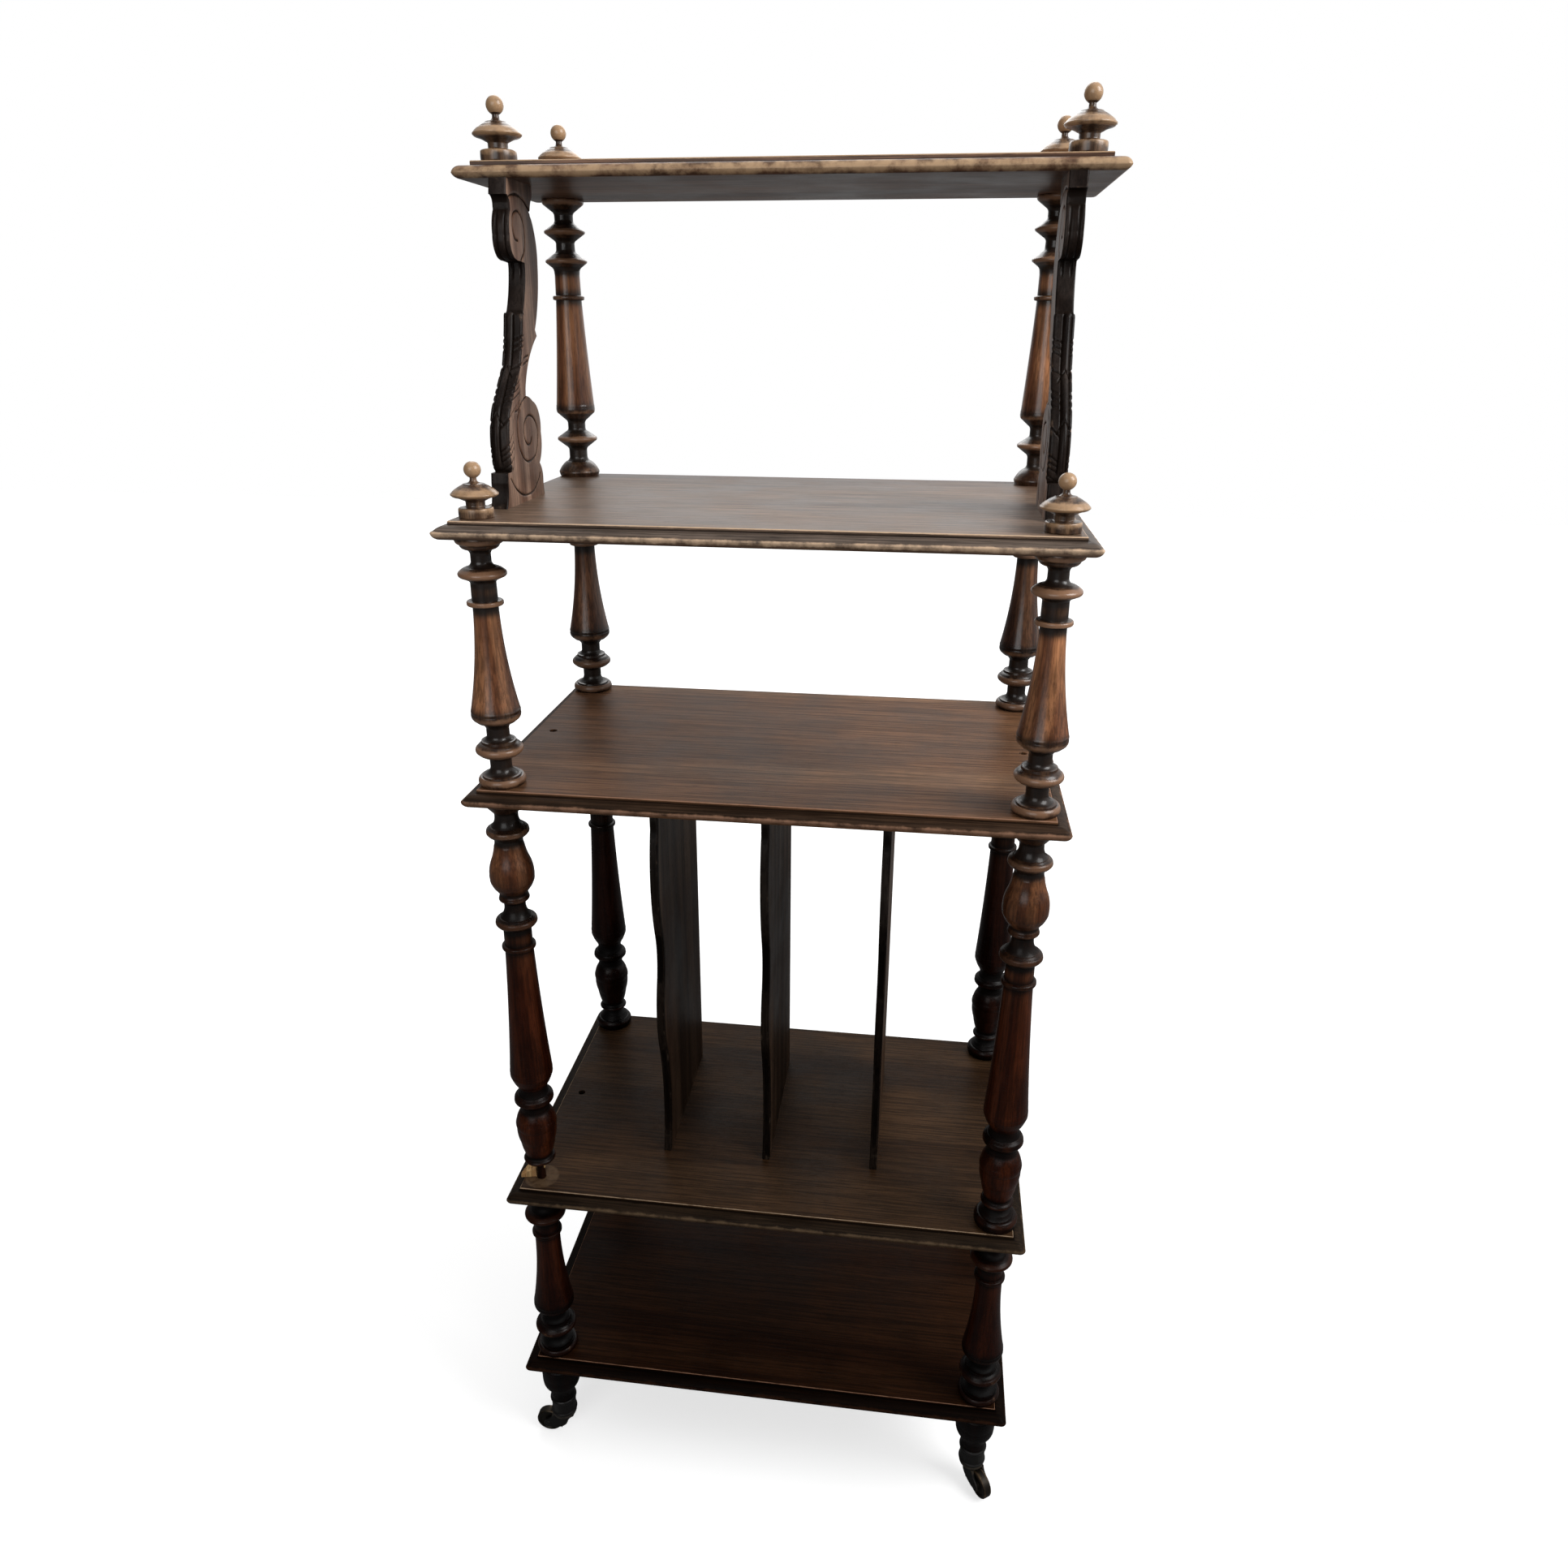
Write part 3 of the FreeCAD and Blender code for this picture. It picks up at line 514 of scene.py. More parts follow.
def board_grid(low, high, edge, reach):
    """A moulded board: its edge section, carried round the board's rectangle with slightly rounded
    corners and closed along the middle of its underside and of its top."""
    low, high = np.array(low), np.array(high)
    section = along_arcs(np.array(edge), spread(edge, EDGE_STEP))
    wear, shade = (np.concatenate([[0], values, [0]]) for values in edge_wear(section, edge, reach))
    section = section * MM
    middle = (high[1] - low[1]) / 2
    section = np.vstack([[-middle, section[0, 1]], section, [-middle, section[-1, 1]]])
    inset = -section[:, :1]
    radius = np.maximum(0, CORNER_RADIUS * MM - 0.35 * inset)
    west, east = low[0] + inset + radius, high[0] - inset - radius
    south, north = low[1] + inset + radius, high[1] - inset - radius
    quarter = np.linspace(-QUARTER_TURN, 0, CORNER_CUTS)
    centres = ((east, south), (east, north), (west, north), (west, south))
    arcs = []
    for k, (x, y) in enumerate(centres):
        angle = quarter + k * QUARTER_TURN
        arcs.append(np.stack([x + radius * np.cos(angle), y + radius * np.sin(angle)], -1))
    share = np.linspace(0, 1, BOARD_CUTS)[1:-1, None]
    plan = []
    for arc, following in zip(arcs, arcs[1:] + arcs[:1]):
        plan += [arc, arc[:, -1:] + (following[:, :1] - arc[:, -1:]) * share]
    plan = np.concatenate(plan, axis=1)
    height = np.broadcast_to(low[2] + section[:, 1:, None], plan.shape[:2] + (1,))
    points = np.concatenate([plan, height], 2).reshape(-1, 3)
    around = plan.shape[1]
    faces = grid_faces(len(section), around, wrap_columns=True)
    return points, faces, np.repeat(wear, around), np.repeat(shade, around)


def slab(front, rear, stations, half_thickness, rounding, step, face_cuts, relief=None):
    """An upright board with rounded arrises, standing in the YZ plane: a rounded rectangle carried
    up between a front and a rear outline, at stations that face each other. All in millimetres.

    relief(x, back, y, z) gives how far the surface is pushed out at each point. The slab's wear is
    left to its mesh, and its shade is 1 on the front, where the material paints shade that darkens it."""
    front = np.array(front, float) * (1, 1, -1)
    rear = np.array(rear, float)
    stations = np.array(stations, float)
    ends = along_arcs(front, stations[:, 0]), along_arcs(rear, stations[:, 1])
    travel = sum(np.linalg.norm(np.diff(end, axis=0), axis=1) for end in ends) / 2
    cuts = np.maximum(1, np.ceil(travel / step)).astype(int)
    places = np.append(np.concatenate([k + np.arange(n) / n for k, n in enumerate(cuts)]), len(cuts))
    order = np.arange(len(stations))
    front_line = along_arcs(front, np.interp(places, order, stations[:, 0]))[:, None, :]
    rear_line = along_arcs(rear, np.interp(places, order, stations[:, 1]))[:, None, :]
    corner = np.linspace(0, QUARTER_TURN, ARRIS_CUTS)
    inward = rounding * (1 - np.cos(corner))
    behind = rounding * (1 - np.sin(corner))
    flat = np.linspace(-1, 1, FRONT_CUTS)[1:-1] * (half_thickness - rounding)
    edge_x = np.concatenate([inward - half_thickness, flat, half_thickness - inward[::-1]])
    edge_back = np.concatenate([behind, 0 * flat, behind[::-1]])
    face = np.linspace(0, 1, face_cuts + 1)[1:-1]
    share = np.concatenate([0 * edge_x, face, 1 + 0 * edge_x, face[::-1]])
    along_face = rounding * (1 - 2 * face)
    offset = np.concatenate([edge_back, along_face, -edge_back[::-1], along_face[::-1]])
    x = np.concatenate([edge_x, half_thickness + 0 * face, edge_x[::-1], -half_thickness + 0 * face])
    across = rear_line - front_line
    length = np.linalg.norm(across, axis=2, keepdims=True)
    line = front_line + across * (share[:, None] + offset[:, None] / length)
    grid = np.concatenate([np.broadcast_to(x[:, None], line.shape[:2] + (1,)), line], 2)
    if relief:
        down = np.gradient(grid, axis=0)
        round_way = (np.roll(grid, -1, axis=1) - np.roll(grid, 1, axis=1)) / 2
        normal = np.cross(round_way, down)
        normal /= np.maximum(np.linalg.norm(normal, axis=2, keepdims=True), 1e-9)
        back = (share + offset / length[:, :, 0]) * length[:, :, 0]
        grid = grid + normal * relief(grid[:, :, 0], back, grid[:, :, 1], grid[:, :, 2])[:, :, None]
    bottom = np.broadcast_to(grid[:1].mean(1, keepdims=True), grid[:1].shape)
    top = np.broadcast_to(grid[-1:].mean(1, keepdims=True), grid[-1:].shape)
    grid = np.concatenate([bottom, grid, top])
    shade = np.concatenate([1 + 0 * edge_x, 0 * face, 0 * edge_x, 0 * face])
    faces = grid_faces(grid.shape[0], grid.shape[1], wrap_columns=True)
    return grid.reshape(-1, 3) * MM, faces, np.tile(shade, grid.shape[0])


def placed(part, place=(0, 0, 0), turn=0.0):
    """A part's points, turned about Z and moved."""
    turned = np.array(Matrix.Rotation(turn, 3, "Z"))
    return (part[0] @ turned.T + np.array(place), *part[1:])


def laid(part):
    """A part whose Z axis is laid along X."""
    return part[0][:, [2, 0, 1]], part[1]


def smooth_step(low, high, value):
    share = np.clip((value - low) / (high - low), 0, 1)
    return share * share * (3 - 2 * share)


def between(ends, height):
    below, above = ends
    return smooth_step(*below, height) * smooth_step(*above, height)


def ridge(value, width):
    """A round ridge: 1 where the value is 0, falling to nothing past its width."""
    return np.exp(-(value / width) ** 2)


def raised(across, form):
    place, width, rise = form
    return rise * ridge(across - place, width)


def smooth_line(points, cuts=4):
    """A smooth curve through points, where a, b, c and d are four in a row and t runs from b to c:
    0.5 (2b + (c-a)t + (2a-5b+4c-d)t^2 + (3b-a-3c+d)t^3)."""
    points = np.array(points, float)
    points = np.vstack([2 * points[0] - points[1], points, 2 * points[-1] - points[-2]])
    a, b, c, d = points[:-3, None], points[1:-2, None], points[2:-1, None], points[3:, None]
    t = np.linspace(0, 1, cuts, endpoint=False)[:, None]
    square, cube = (2 * a - 5 * b + 4 * c - d) * t**2, (3 * b - a - 3 * c + d) * t**3
    curve = 0.5 * (2 * b + (c - a) * t + square + cube)
    return np.vstack([curve.reshape(-1, 2), points[-2]])


def distance_to(line, y, z):
    """Distance of each point from a chain of straight stretches."""
    nearest = np.full(y.shape, np.inf)
    for start, end in zip(line, line[1:]):
        way = end - start
        share = np.clip(((y - start[0]) * way[0] + (z - start[1]) * way[1]) / (way @ way), 0, 1)
        away = np.hypot(y - start[0] - share * way[0], z - start[1] - share * way[1])
        nearest = np.minimum(nearest, away)
    return nearest


def bracket_relief(rib_place, x, back, y, z):
    """Carving of a bracket: incised lines on its faces, and a leaf folded over its front edge, with
    a rib between two grooves, chevrons across it and veins that rise from it to the leaf's border."""
    lines = 0 * z
    for line in BRACKET_LINES:
        lines = np.maximum(lines, ridge(distance_to(smooth_line(line), y, z), LINE_WIDTH))
    lines = lines * smooth_step(1.0, 3.0, back)
    side = np.abs(x - rib_place)
    border_z, border_back = np.array(LEAF_BORDER, float).T
    whole = BRACKET_HALF_THICKNESS - np.sign(x) * rib_place + np.interp(z, border_z, border_back)
    away = side + back
    leaf = smooth_step(-0.4, 1.4, whole - away) * between(LEAF_ENDS, z)
    share = np.minimum(away / whole, 1.2)
    veins = 0 * z
    for border, rib, width, depth in LEAF_VEINS:
        veins = np.maximum(veins, depth * ridge(z - rib - (border - rib) * share**1.3, width))
    veins = veins * smooth_step(2.4, 4.4, away)
    on_front = smooth_step(2.5, 0.8, back)
    rib = between(RIB_ENDS, z) * on_front
    rib = rib * (raised(side, RIB) + raised(side, RIB_GROOVE))
    for level in CHEVRONS:
        chevron = ridge(z - level + CHEVRON_SLOPE * side, CHEVRON_WIDTH) * (side < CHEVRON_REACH)
        rib = rib - CHEVRON_DEPTH * on_front * chevron
    reeds = between(REED_ENDS, z) * on_front * raised(np.abs(x), REED_GROOVE)
    return leaf * (LEAF_RISE - veins) - LINE_DEPTH * lines * (1 - 0.6 * leaf) + rib + reeds


# Materials

# Heights in metres between which the colour goes from dark to clear, and grime from whole to none. The
# dark lower tiers are partly patina and grime, partly painted shade under the shelves.
CLEAR_AND_LIT_HEIGHTS = (0.68, 1.08)
GRIME_AND_SHADE_HEIGHTS = (0.05, 0.50)

# What colours are multiplied by under old polish and painted shade, and under grime and painted
# shade near the floor, the colours of dirt and of the bare wood of a footprint, and the radii where a
# footprint ends and where it is whole
POLISH_AND_SHADE_TINT = (0.90, 1.05, 1.25)
GRIME_AND_SHADE_TINT = (0.16, 0.09, 0.055)
DIRT_COLOUR = (0.010, 0.006, 0.004)
FOOTPRINT_COLOUR = (0.080, 0.048, 0.026)
FOOTPRINT_RADII = (21.5, 18.0)


def connect(tree, node, sockets):
    """Sets a node's sockets, given as values or as links from other sockets."""
    for name, value in sockets.items():
        if isinstance(value, bpy.types.NodeSocket):
            tree.links.new(value, node.inputs[name])
        else:
            node.inputs[name].default_value = value


def add(tree, kind, sockets=(), **settings):
    """A node with its settings and sockets."""
    made = tree.nodes.new(kind)
    for name, value in settings.items():
        setattr(made, name, value)
    connect(tree, made, dict(sockets))
    return made


def math_of(tree, operation, *values):
    return add(tree, "ShaderNodeMath", dict(enumerate(values)), operation=operation).outputs[0]


def times(tree, colour, factor):
    return mixed(tree, 1.0, colour, factor, "MULTIPLY")


def opaque(colour, share=1.0):
    return tuple(share * part for part in colour) + (1,)


def attribute_of(tree, name):
    return add(tree, "ShaderNodeAttribute", attribute_name=name).outputs["Fac"]


def scaled(tree, vector, factors):
    return add(tree, "ShaderNodeVectorMath", {0: vector, 1: factors}, operation="MULTIPLY").outputs[0]


def mapped(tree, value, low, high, to_low=0.0, to_high=1.0):
    """A value eased from one range to another."""
    sockets = {"Value": value, "From Min": low, "From Max": high, "To Min": to_low, "To Max": to_high}
    return add(tree, "ShaderNodeMapRange", sockets, interpolation_type="SMOOTHSTEP").outputs["Result"]


def noise(tree, vector, scale, detail=2.0, roughness=0.5):
    sockets = {"Vector": vector, "Scale": scale, "Detail": detail, "Roughness": roughness}
    return add(tree, "ShaderNodeTexNoise", sockets).outputs["Fac"]


def mixed(tree, factor, first, second, blend="MIX"):
    sockets = {0: factor, 6: first, 7: second}
    return add(tree, "ShaderNodeMix", sockets, data_type="RGBA", blend_type=blend).outputs[2]


def group(name, inputs, outputs):
    """A shader node group with named sockets, and its input and output nodes."""
    tree = bpy.data.node_groups.new(name, "ShaderNodeTree")
    for label, kind, value in inputs:
        socket = tree.interface.new_socket(label, in_out="INPUT", socket_type=kind)
        if value is not None:
            socket.default_value = value
    for label in outputs:
        tree.interface.new_socket(label, in_out="OUTPUT", socket_type="NodeSocketFloat")
    return tree, tree.nodes.new("NodeGroupInput").outputs, tree.nodes.new("NodeGroupOutput").inputs


def grain_group():
    """Walnut cut along Z: growth rings round the pith, fibres and pores, all stretched along Z."""
    inputs = (
        ("Vector", "NodeSocketVector", None), ("Ring Scale", "NodeSocketFloat", 20.0),
        ("Distortion", "NodeSocketFloat", 6.0),
    )
    tree, given, out = group("walnut_grain", inputs, ("Figure", "Fibre", "Pores"))
    along = scaled(tree, given["Vector"], (1.0, 1.0, 0.07))
    sockets = {
        "Vector": along, "Scale": given["Ring Scale"], "Distortion": given["Distortion"],
        "Detail": 3.0, "Detail Scale": 1.4, "Detail Roughness": 0.55,
    }
    rings = add(tree, "ShaderNodeTexWave", sockets, wave_type="RINGS", rings_direction="Z")
    cloud = noise(tree, along, 26.0, 4.0, 0.6)
    clouds = math_of(tree, "MULTIPLY", cloud, 0.5)
    figure = math_of(tree, "MULTIPLY_ADD", rings.outputs["Fac"], 0.55, clouds)
    tree.links.new(figure, out["Figure"])
    fibre = noise(tree, scaled(tree, given["Vector"], (1.0, 1.0, 0.025)), 420.0, 3.0, 0.6)
    tree.links.new(fibre, out["Fibre"])
    fine = noise(tree, scaled(tree, given["Vector"], (1.0, 1.0, 0.05)), 1100.0, 1.0)
    tree.links.new(mapped(tree, fine, 0.60, 0.70), out["Pores"])
    return tree


def wear_group():
    """Masks from the wear attribute, broken up by noise: rubbed places, arrises rubbed through to
    bare wood, and dirt in the grooves."""
    inputs = (
        ("Wear", "NodeSocketFloat", 0.0), ("Vector", "NodeSocketVector", None),
        ("Rubbing", "NodeSocketFloat", 1.0), ("Dirt", "NodeSocketFloat", 1.0),
    )
    tree, given, out = group("wear_and_dirt", inputs, ("Worn", "Bare", "Dirty"))
    patches = noise(tree, given["Vector"], 60.0, 5.0, 0.65)
    broken = math_of(tree, "MULTIPLY_ADD", patches, 1.6, -0.80)
    rubbed = math_of(tree, "MULTIPLY_ADD", given["Wear"], given["Rubbing"], broken)
    tree.links.new(mapped(tree, rubbed, 0.45, 1.05), out["Worn"])
    through = math_of(tree, "MULTIPLY_ADD", broken, 0.9, given["Wear"])
    tree.links.new(mapped(tree, through, 1.05, 1.45), out["Bare"])
    hollow = math_of(tree, "MULTIPLY", given["Wear"], -1.0)
    dirt = math_of(tree, "MULTIPLY_ADD", hollow, given["Dirt"], math_of(tree, "MULTIPLY", broken, 0.3))
    tree.links.new(mapped(tree, dirt, 0.02, 0.45), out["Dirty"])
    return tree


def marks_group():
    """Blotches of handling and thin scratches that run all ways."""
    inputs = (("Vector", "NodeSocketVector", None),)
    tree, given, out = group("handling_marks", inputs, ("Blotches", "Scratches"))
    tree.links.new(noise(tree, given["Vector"], 11.0, 5.0, 0.6), out["Blotches"])
    lines = noise(tree, scaled(tree, given["Vector"], (1.0, 6.0, 6.0)), 14.0, 3.0, 0.7)
    far = math_of(tree, "ABSOLUTE", math_of(tree, "SUBTRACT", lines, 0.5))
    tree.links.new(mapped(tree, far, 0.008, 0.0), out["Scratches"])
    return tree


def patina_and_shade_group():
    """How clear and lit the wood is by height in metres: clear in the upper tiers, dark in the lower
    ones, and darker still near the floor. The darkening is partly patina and grime, partly painted
    shade of the lower tiers under the shelves."""
    inputs = (("Vector", "NodeSocketVector", None),)
    tree, given, out = group("patina_and_painted_shade_by_height", inputs, ("Clearness and light", "Grime and shade"))
    height = add(tree, "ShaderNodeSeparateXYZ", {0: given["Vector"]}).outputs["Z"]
    tree.links.new(mapped(tree, height, *CLEAR_AND_LIT_HEIGHTS), out["Clearness and light"])
    tree.links.new(mapped(tree, height, *GRIME_AND_SHADE_HEIGHTS, 1.0, 0.0), out["Grime and shade"])
    return tree


GRAIN = grain_group()
WEAR = wear_group()
MARKS = marks_group()
PATINA_AND_SHADE = patina_and_shade_group()
GRAIN_TURNS = {"x": (0, QUARTER_TURN, 0), "z": (0, 0, 0)}


def use(tree, used, sockets):
    """The outputs of a shared effect placed in a material, with its sockets set."""
    made = add(tree, "ShaderNodeGroup", node_tree=used)
    connect(tree, made, sockets)
    return made.outputs


def new_material(name):
    material = bpy.data.materials.new(name)
    material.use_nodes = True
    tree = material.node_tree
    return material, tree, tree.nodes["Principled BSDF"]


def walnut(name, grain, dark, light, worn, ring_scale=20.0, distortion=6.0, rubbing=1.0, dirt=1.0,
           deep_patina_and_shade=(0.19, 0.10, 0.075), gloss=0.34, sheen=0.45, coat=0.1, stains=0.5, fibre=0.35,
           pith=(0.0, 0.0, 0.0), footprint=None, polish_and_painted_shade=0.0):
    """Stained walnut: dark and light wood mixed by the figure, with fibres, stains and pores, old
    polish and painted shade where the shade attribute says, rubbed arrises and dirty grooves. In the
    lower tiers the colour is multiplied by a darker colour, and near the floor by grime too: partly
    patina, partly painted shade. A footprint is a round place of bare wood."""
    material, tree, shader = new_material(name)
    object_place = add(tree, "ShaderNodeTexCoord").outputs["Object"]
    sockets = {"Vector": object_place, "Location": pith, "Rotation": GRAIN_TURNS[grain]}
    along = add(tree, "ShaderNodeMapping", sockets).outputs[0]
    wood = use(tree, GRAIN, {"Vector": along, "Ring Scale": ring_scale, "Distortion": distortion})
    marks = use(tree, MARKS, {"Vector": along})
    wear = attribute_of(tree, "wear")
    edges = use(tree, WEAR, {"Wear": wear, "Vector": object_place, "Rubbing": rubbing, "Dirt": dirt})
    patina_and_shade_masks = use(tree, PATINA_AND_SHADE, {"Vector": object_place})
    clear = patina_and_shade_masks["Clearness and light"]

    colour = mixed(tree, mapped(tree, wood["Figure"], 0.30, 0.78), opaque(dark), opaque(light))
    fibres = mapped(tree, wood["Fibre"], 0.38, 0.62, 1.0 - fibre, 1.0 + 0.6 * fibre)
    colour = times(tree, colour, fibres)
    stain = mapped(tree, marks["Blotches"], 0.32, 0.68, 1.0 - stains, 1.0 + 0.4 * stains)
    colour = times(tree, colour, stain)
    pores = math_of(tree, "MULTIPLY", wood["Pores"], 0.5)
    colour = mixed(tree, pores, colour, opaque(dark, 0.3))
    # The shade attribute darkens the colour: painted shade on the fronts of boards, brackets and
    # dividers, and darker wood round the rings of turnings.
    if polish_and_painted_shade:
        shade = mapped(tree, attribute_of(tree, "shade"), 0.15, 0.85)
        polish_and_shade = mixed(tree, shade, (1, 1, 1, 1), opaque(POLISH_AND_SHADE_TINT, 1.0 - polish_and_painted_shade))
        colour = times(tree, colour, polish_and_shade)
    worn_share = math_of(tree, "MULTIPLY", edges["Worn"], mapped(tree, clear, 0.0, 1.0, 0.70, 0.95))
    colour = mixed(tree, worn_share, colour, opaque(worn))
    dirty_share = math_of(tree, "MULTIPLY", edges["Dirty"], 0.85)
    colour = mixed(tree, dirty_share, colour, opaque(DIRT_COLOUR))
    # Darker in the lower tiers and darker still near the floor: partly patina and grime, partly painted
    # shade under the shelves.
    grimy_and_shaded = [tint * part for tint, part in zip(GRIME_AND_SHADE_TINT, deep_patina_and_shade)]
    stained_and_shaded = mixed(tree, patina_and_shade_masks["Grime and shade"], opaque(deep_patina_and_shade), opaque(grimy_and_shaded))
    colour = times(tree, colour, mixed(tree, clear, stained_and_shaded, (1, 1, 1, 1)))
    bare_share = math_of(tree, "MULTIPLY", edges["Bare"], mapped(tree, clear, 0.0, 1.0, 0.55, 0.9))
    colour = mixed(tree, bare_share, colour, opaque(worn))
    if footprint:
        sockets = {0: object_place, 1: footprint}
        away = add(tree, "ShaderNodeVectorMath", sockets, operation="DISTANCE").outputs["Value"]
        bare = mapped(tree, away, *[radius * MM for radius in FOOTPRINT_RADII])
        broken = mapped(tree, noise(tree, object_place, 160.0, 4.0), 0.3, 0.6, 0.35, 1.0)
        bare = math_of(tree, "MULTIPLY", bare, broken)
        colour = mixed(tree, bare, colour, opaque(FOOTPRINT_COLOUR))
    tree.links.new(colour, shader.inputs["Base Color"])

    rough = mapped(tree, marks["Blotches"], 0.3, 0.7, gloss, gloss + 0.16)
    rough = math_of(tree, "ADD", rough, math_of(tree, "MULTIPLY", edges["Dirty"], 0.3))
    tree.links.new(rough, shader.inputs["Roughness"])
    shader.inputs["Specular IOR Level"].default_value = 0.25 * sheen
    tree.links.new(math_of(tree, "MULTIPLY", clear, 1.5 * sheen + coat), shader.inputs["Coat Weight"])
    shader.inputs["Coat Roughness"].default_value = gloss
    height = math_of(tree, "MULTIPLY", wood["Fibre"], 0.35)
    height = math_of(tree, "MULTIPLY_ADD", wood["Pores"], -0.5, height)
    height = math_of(tree, "MULTIPLY_ADD", marks["Scratches"], -0.4, height)
    add_bump(tree, shader, height, 0.35, 0.6 * MM)
    return material


def add_bump(tree, shader, height, strength, distance):
    bump = add(tree, "ShaderNodeBump", {"Height": height, "Strength": strength, "Distance": distance})
    tree.links.new(bump.outputs["Normal"], shader.inputs["Normal"])


def iron(name, colour, rubbed, metallic, roughness):
    """Dark casting with a pitted skin, rubbed to bronze where the wear attribute says."""
    material, tree, shader = new_material(name)
    object_place = add(tree, "ShaderNodeTexCoord").outputs["Object"]
    wear = attribute_of(tree, "wear")
    edges = use(tree, WEAR, {"Wear": wear, "Vector": object_place, "Rubbing": 0.9, "Dirt": 1.0})
    marks = use(tree, MARKS, {"Vector": object_place})
    tint = mixed(tree, marks["Blotches"], opaque(colour, 0.6), opaque(colour, 1.3))
    tree.links.new(mixed(tree, edges["Worn"], tint, opaque(rubbed)), shader.inputs["Base Color"])
    shader.inputs["Metallic"].default_value = metallic
    rough = mapped(tree, marks["Blotches"], 0.3, 0.7, roughness, roughness + 0.2)
    tree.links.new(rough, shader.inputs["Roughness"])
    add_bump(tree, shader, noise(tree, object_place, 700.0, 2.0), 0.3, 0.4 * MM)
    return material


TURNED_LOOKS = dict(ring_scale=15.0, rubbing=1.1, gloss=0.24, stains=0.4, polish_and_painted_shade=0.78)
TURNED_WALNUT = walnut(
    "turned_walnut", "z", (0.190, 0.070, 0.030), (0.380, 0.165, 0.074), (0.27, 0.145, 0.082),
    deep_patina_and_shade=(0.120, 0.062, 0.043), **TURNED_LOOKS
)
# A darker copy for the rear columns below the upper shelf: painted shade, as they stand in the shelves'
# shadow.
SHADED_REAR_TURNED_WALNUT = walnut(
    "shaded_rear_turned_walnut", "z", (0.080, 0.030, 0.014), (0.180, 0.082, 0.042), (0.20, 0.11, 0.065),
    deep_patina_and_shade=(0.09, 0.05, 0.045), **TURNED_LOOKS
)
FINIAL_WALNUT = walnut(
    "finial_walnut", "z", (0.110, 0.048, 0.022), (0.290, 0.145, 0.070), (0.43, 0.265, 0.145),
    ring_scale=24.0, rubbing=0.95, stains=0.3, gloss=0.27, coat=0.15, polish_and_painted_shade=0.4
)
# Boards darken their front thumbs through the shade attribute: painted shade.
BOARD_LOOKS = dict(
    ring_scale=9.0, distortion=5.0, deep_patina_and_shade=(0.27, 0.245, 0.21), coat=0.0, stains=0.3, fibre=0.42,
    pith=(0, 0.05, 0.3)
)
TOP_BOARD_WALNUT = walnut(
    "top_board_walnut", "x", (0.105, 0.050, 0.028), (0.230, 0.125, 0.076), (0.48, 0.32, 0.19),
    sheen=0.22, **BOARD_LOOKS
)
UPPER_BOARD_WALNUT = walnut(
    "upper_board_walnut", "x", (0.100, 0.056, 0.036), (0.180, 0.115, 0.076), (0.60, 0.42, 0.28),
    sheen=0.18, polish_and_painted_shade=0.3, **BOARD_LOOKS
)
BOARD_WALNUT = walnut(
    "board_walnut", "x", (0.185, 0.090, 0.046), (0.265, 0.142, 0.076), (0.32, 0.175, 0.11),
    sheen=0.09, polish_and_painted_shade=0.7, **BOARD_LOOKS
)
MUSIC_BOARD_WALNUT = walnut(
    "music_board_walnut", "x", (0.115, 0.062, 0.034), (0.175, 0.100, 0.056), (0.42, 0.30, 0.20),
    sheen=0.15, polish_and_painted_shade=0.55,
    footprint=(*COLUMN_PLACES["front_left"], top_of("music_shelf")), **BOARD_LOOKS
)
# The brackets' fronts are darkened almost to black through the shade attribute: painted shade.
CARVED_WALNUT = walnut(
    "carved_walnut", "z", (0.150, 0.078, 0.050), (0.300, 0.185, 0.130), (0.15, 0.10, 0.07),
    ring_scale=14.0, rubbing=0.2, gloss=0.32, sheen=0.10, coat=0.0, fibre=0.25, pith=(0, 0.2, 0),
    polish_and_painted_shade=0.9
)
# The dividers' fronts are darkened through the shade attribute: painted shade.
DIVIDER_WALNUT = walnut(
    "divider_walnut", "z", (0.270, 0.180, 0.130), (0.500, 0.360, 0.265), (0.12, 0.085, 0.06),
    ring_scale=8.0, distortion=11.0, deep_patina_and_shade=(0.13, 0.105, 0.088), rubbing=0.3, sheen=0.10, stains=0.3,
    pith=(0, 0.3, 0), polish_and_painted_shade=0.8
)
FOOT_WALNUT = walnut(
    "foot_walnut", "z", (0.040, 0.022, 0.014), (0.100, 0.056, 0.036), (0.10, 0.06, 0.035), rubbing=0.6
)
RAW_WOOD = walnut(
    "raw_broken_wood", "z", (0.42, 0.23, 0.095), (0.66, 0.42, 0.19), (0.75, 0.52, 0.28),
    rubbing=0.4, dirt=0.4, gloss=0.6, coat=0.0, deep_patina_and_shade=(1.0, 1.0, 1.0), stains=0.2
)
CASTER_IRON = iron("caster_iron", (0.009, 0.008, 0.0075), (0.05, 0.04, 0.03), 0.5, 0.36)
WHEEL_IRON = iron("wheel_iron", (0.018, 0.014, 0.010), (0.17, 0.11, 0.06), 0.8, 0.35)


# Pieces

BOARD_MATERIALS = {
    "bottom_shelf": BOARD_WALNUT, "music_shelf": MUSIC_BOARD_WALNUT, "middle_shelf": BOARD_WALNUT,
    "upper_shelf": UPPER_BOARD_WALNUT, "top_shelf": TOP_BOARD_WALNUT,
}


def make_shelves():
    for node, material in BOARD_MATERIALS.items():
        edge, reach = (TOP_EDGE, TOP_NOSE_REACH) if node == "top_shelf" else (EDGE, NOSE_REACH)
        grid = board_grid(*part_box(node), edge, reach)
        board = piece(node + "_board", [grid], "frame", material, [node])
        if node in ("music_shelf", "middle_shelf"):
            bore_peg_holes(board, node)


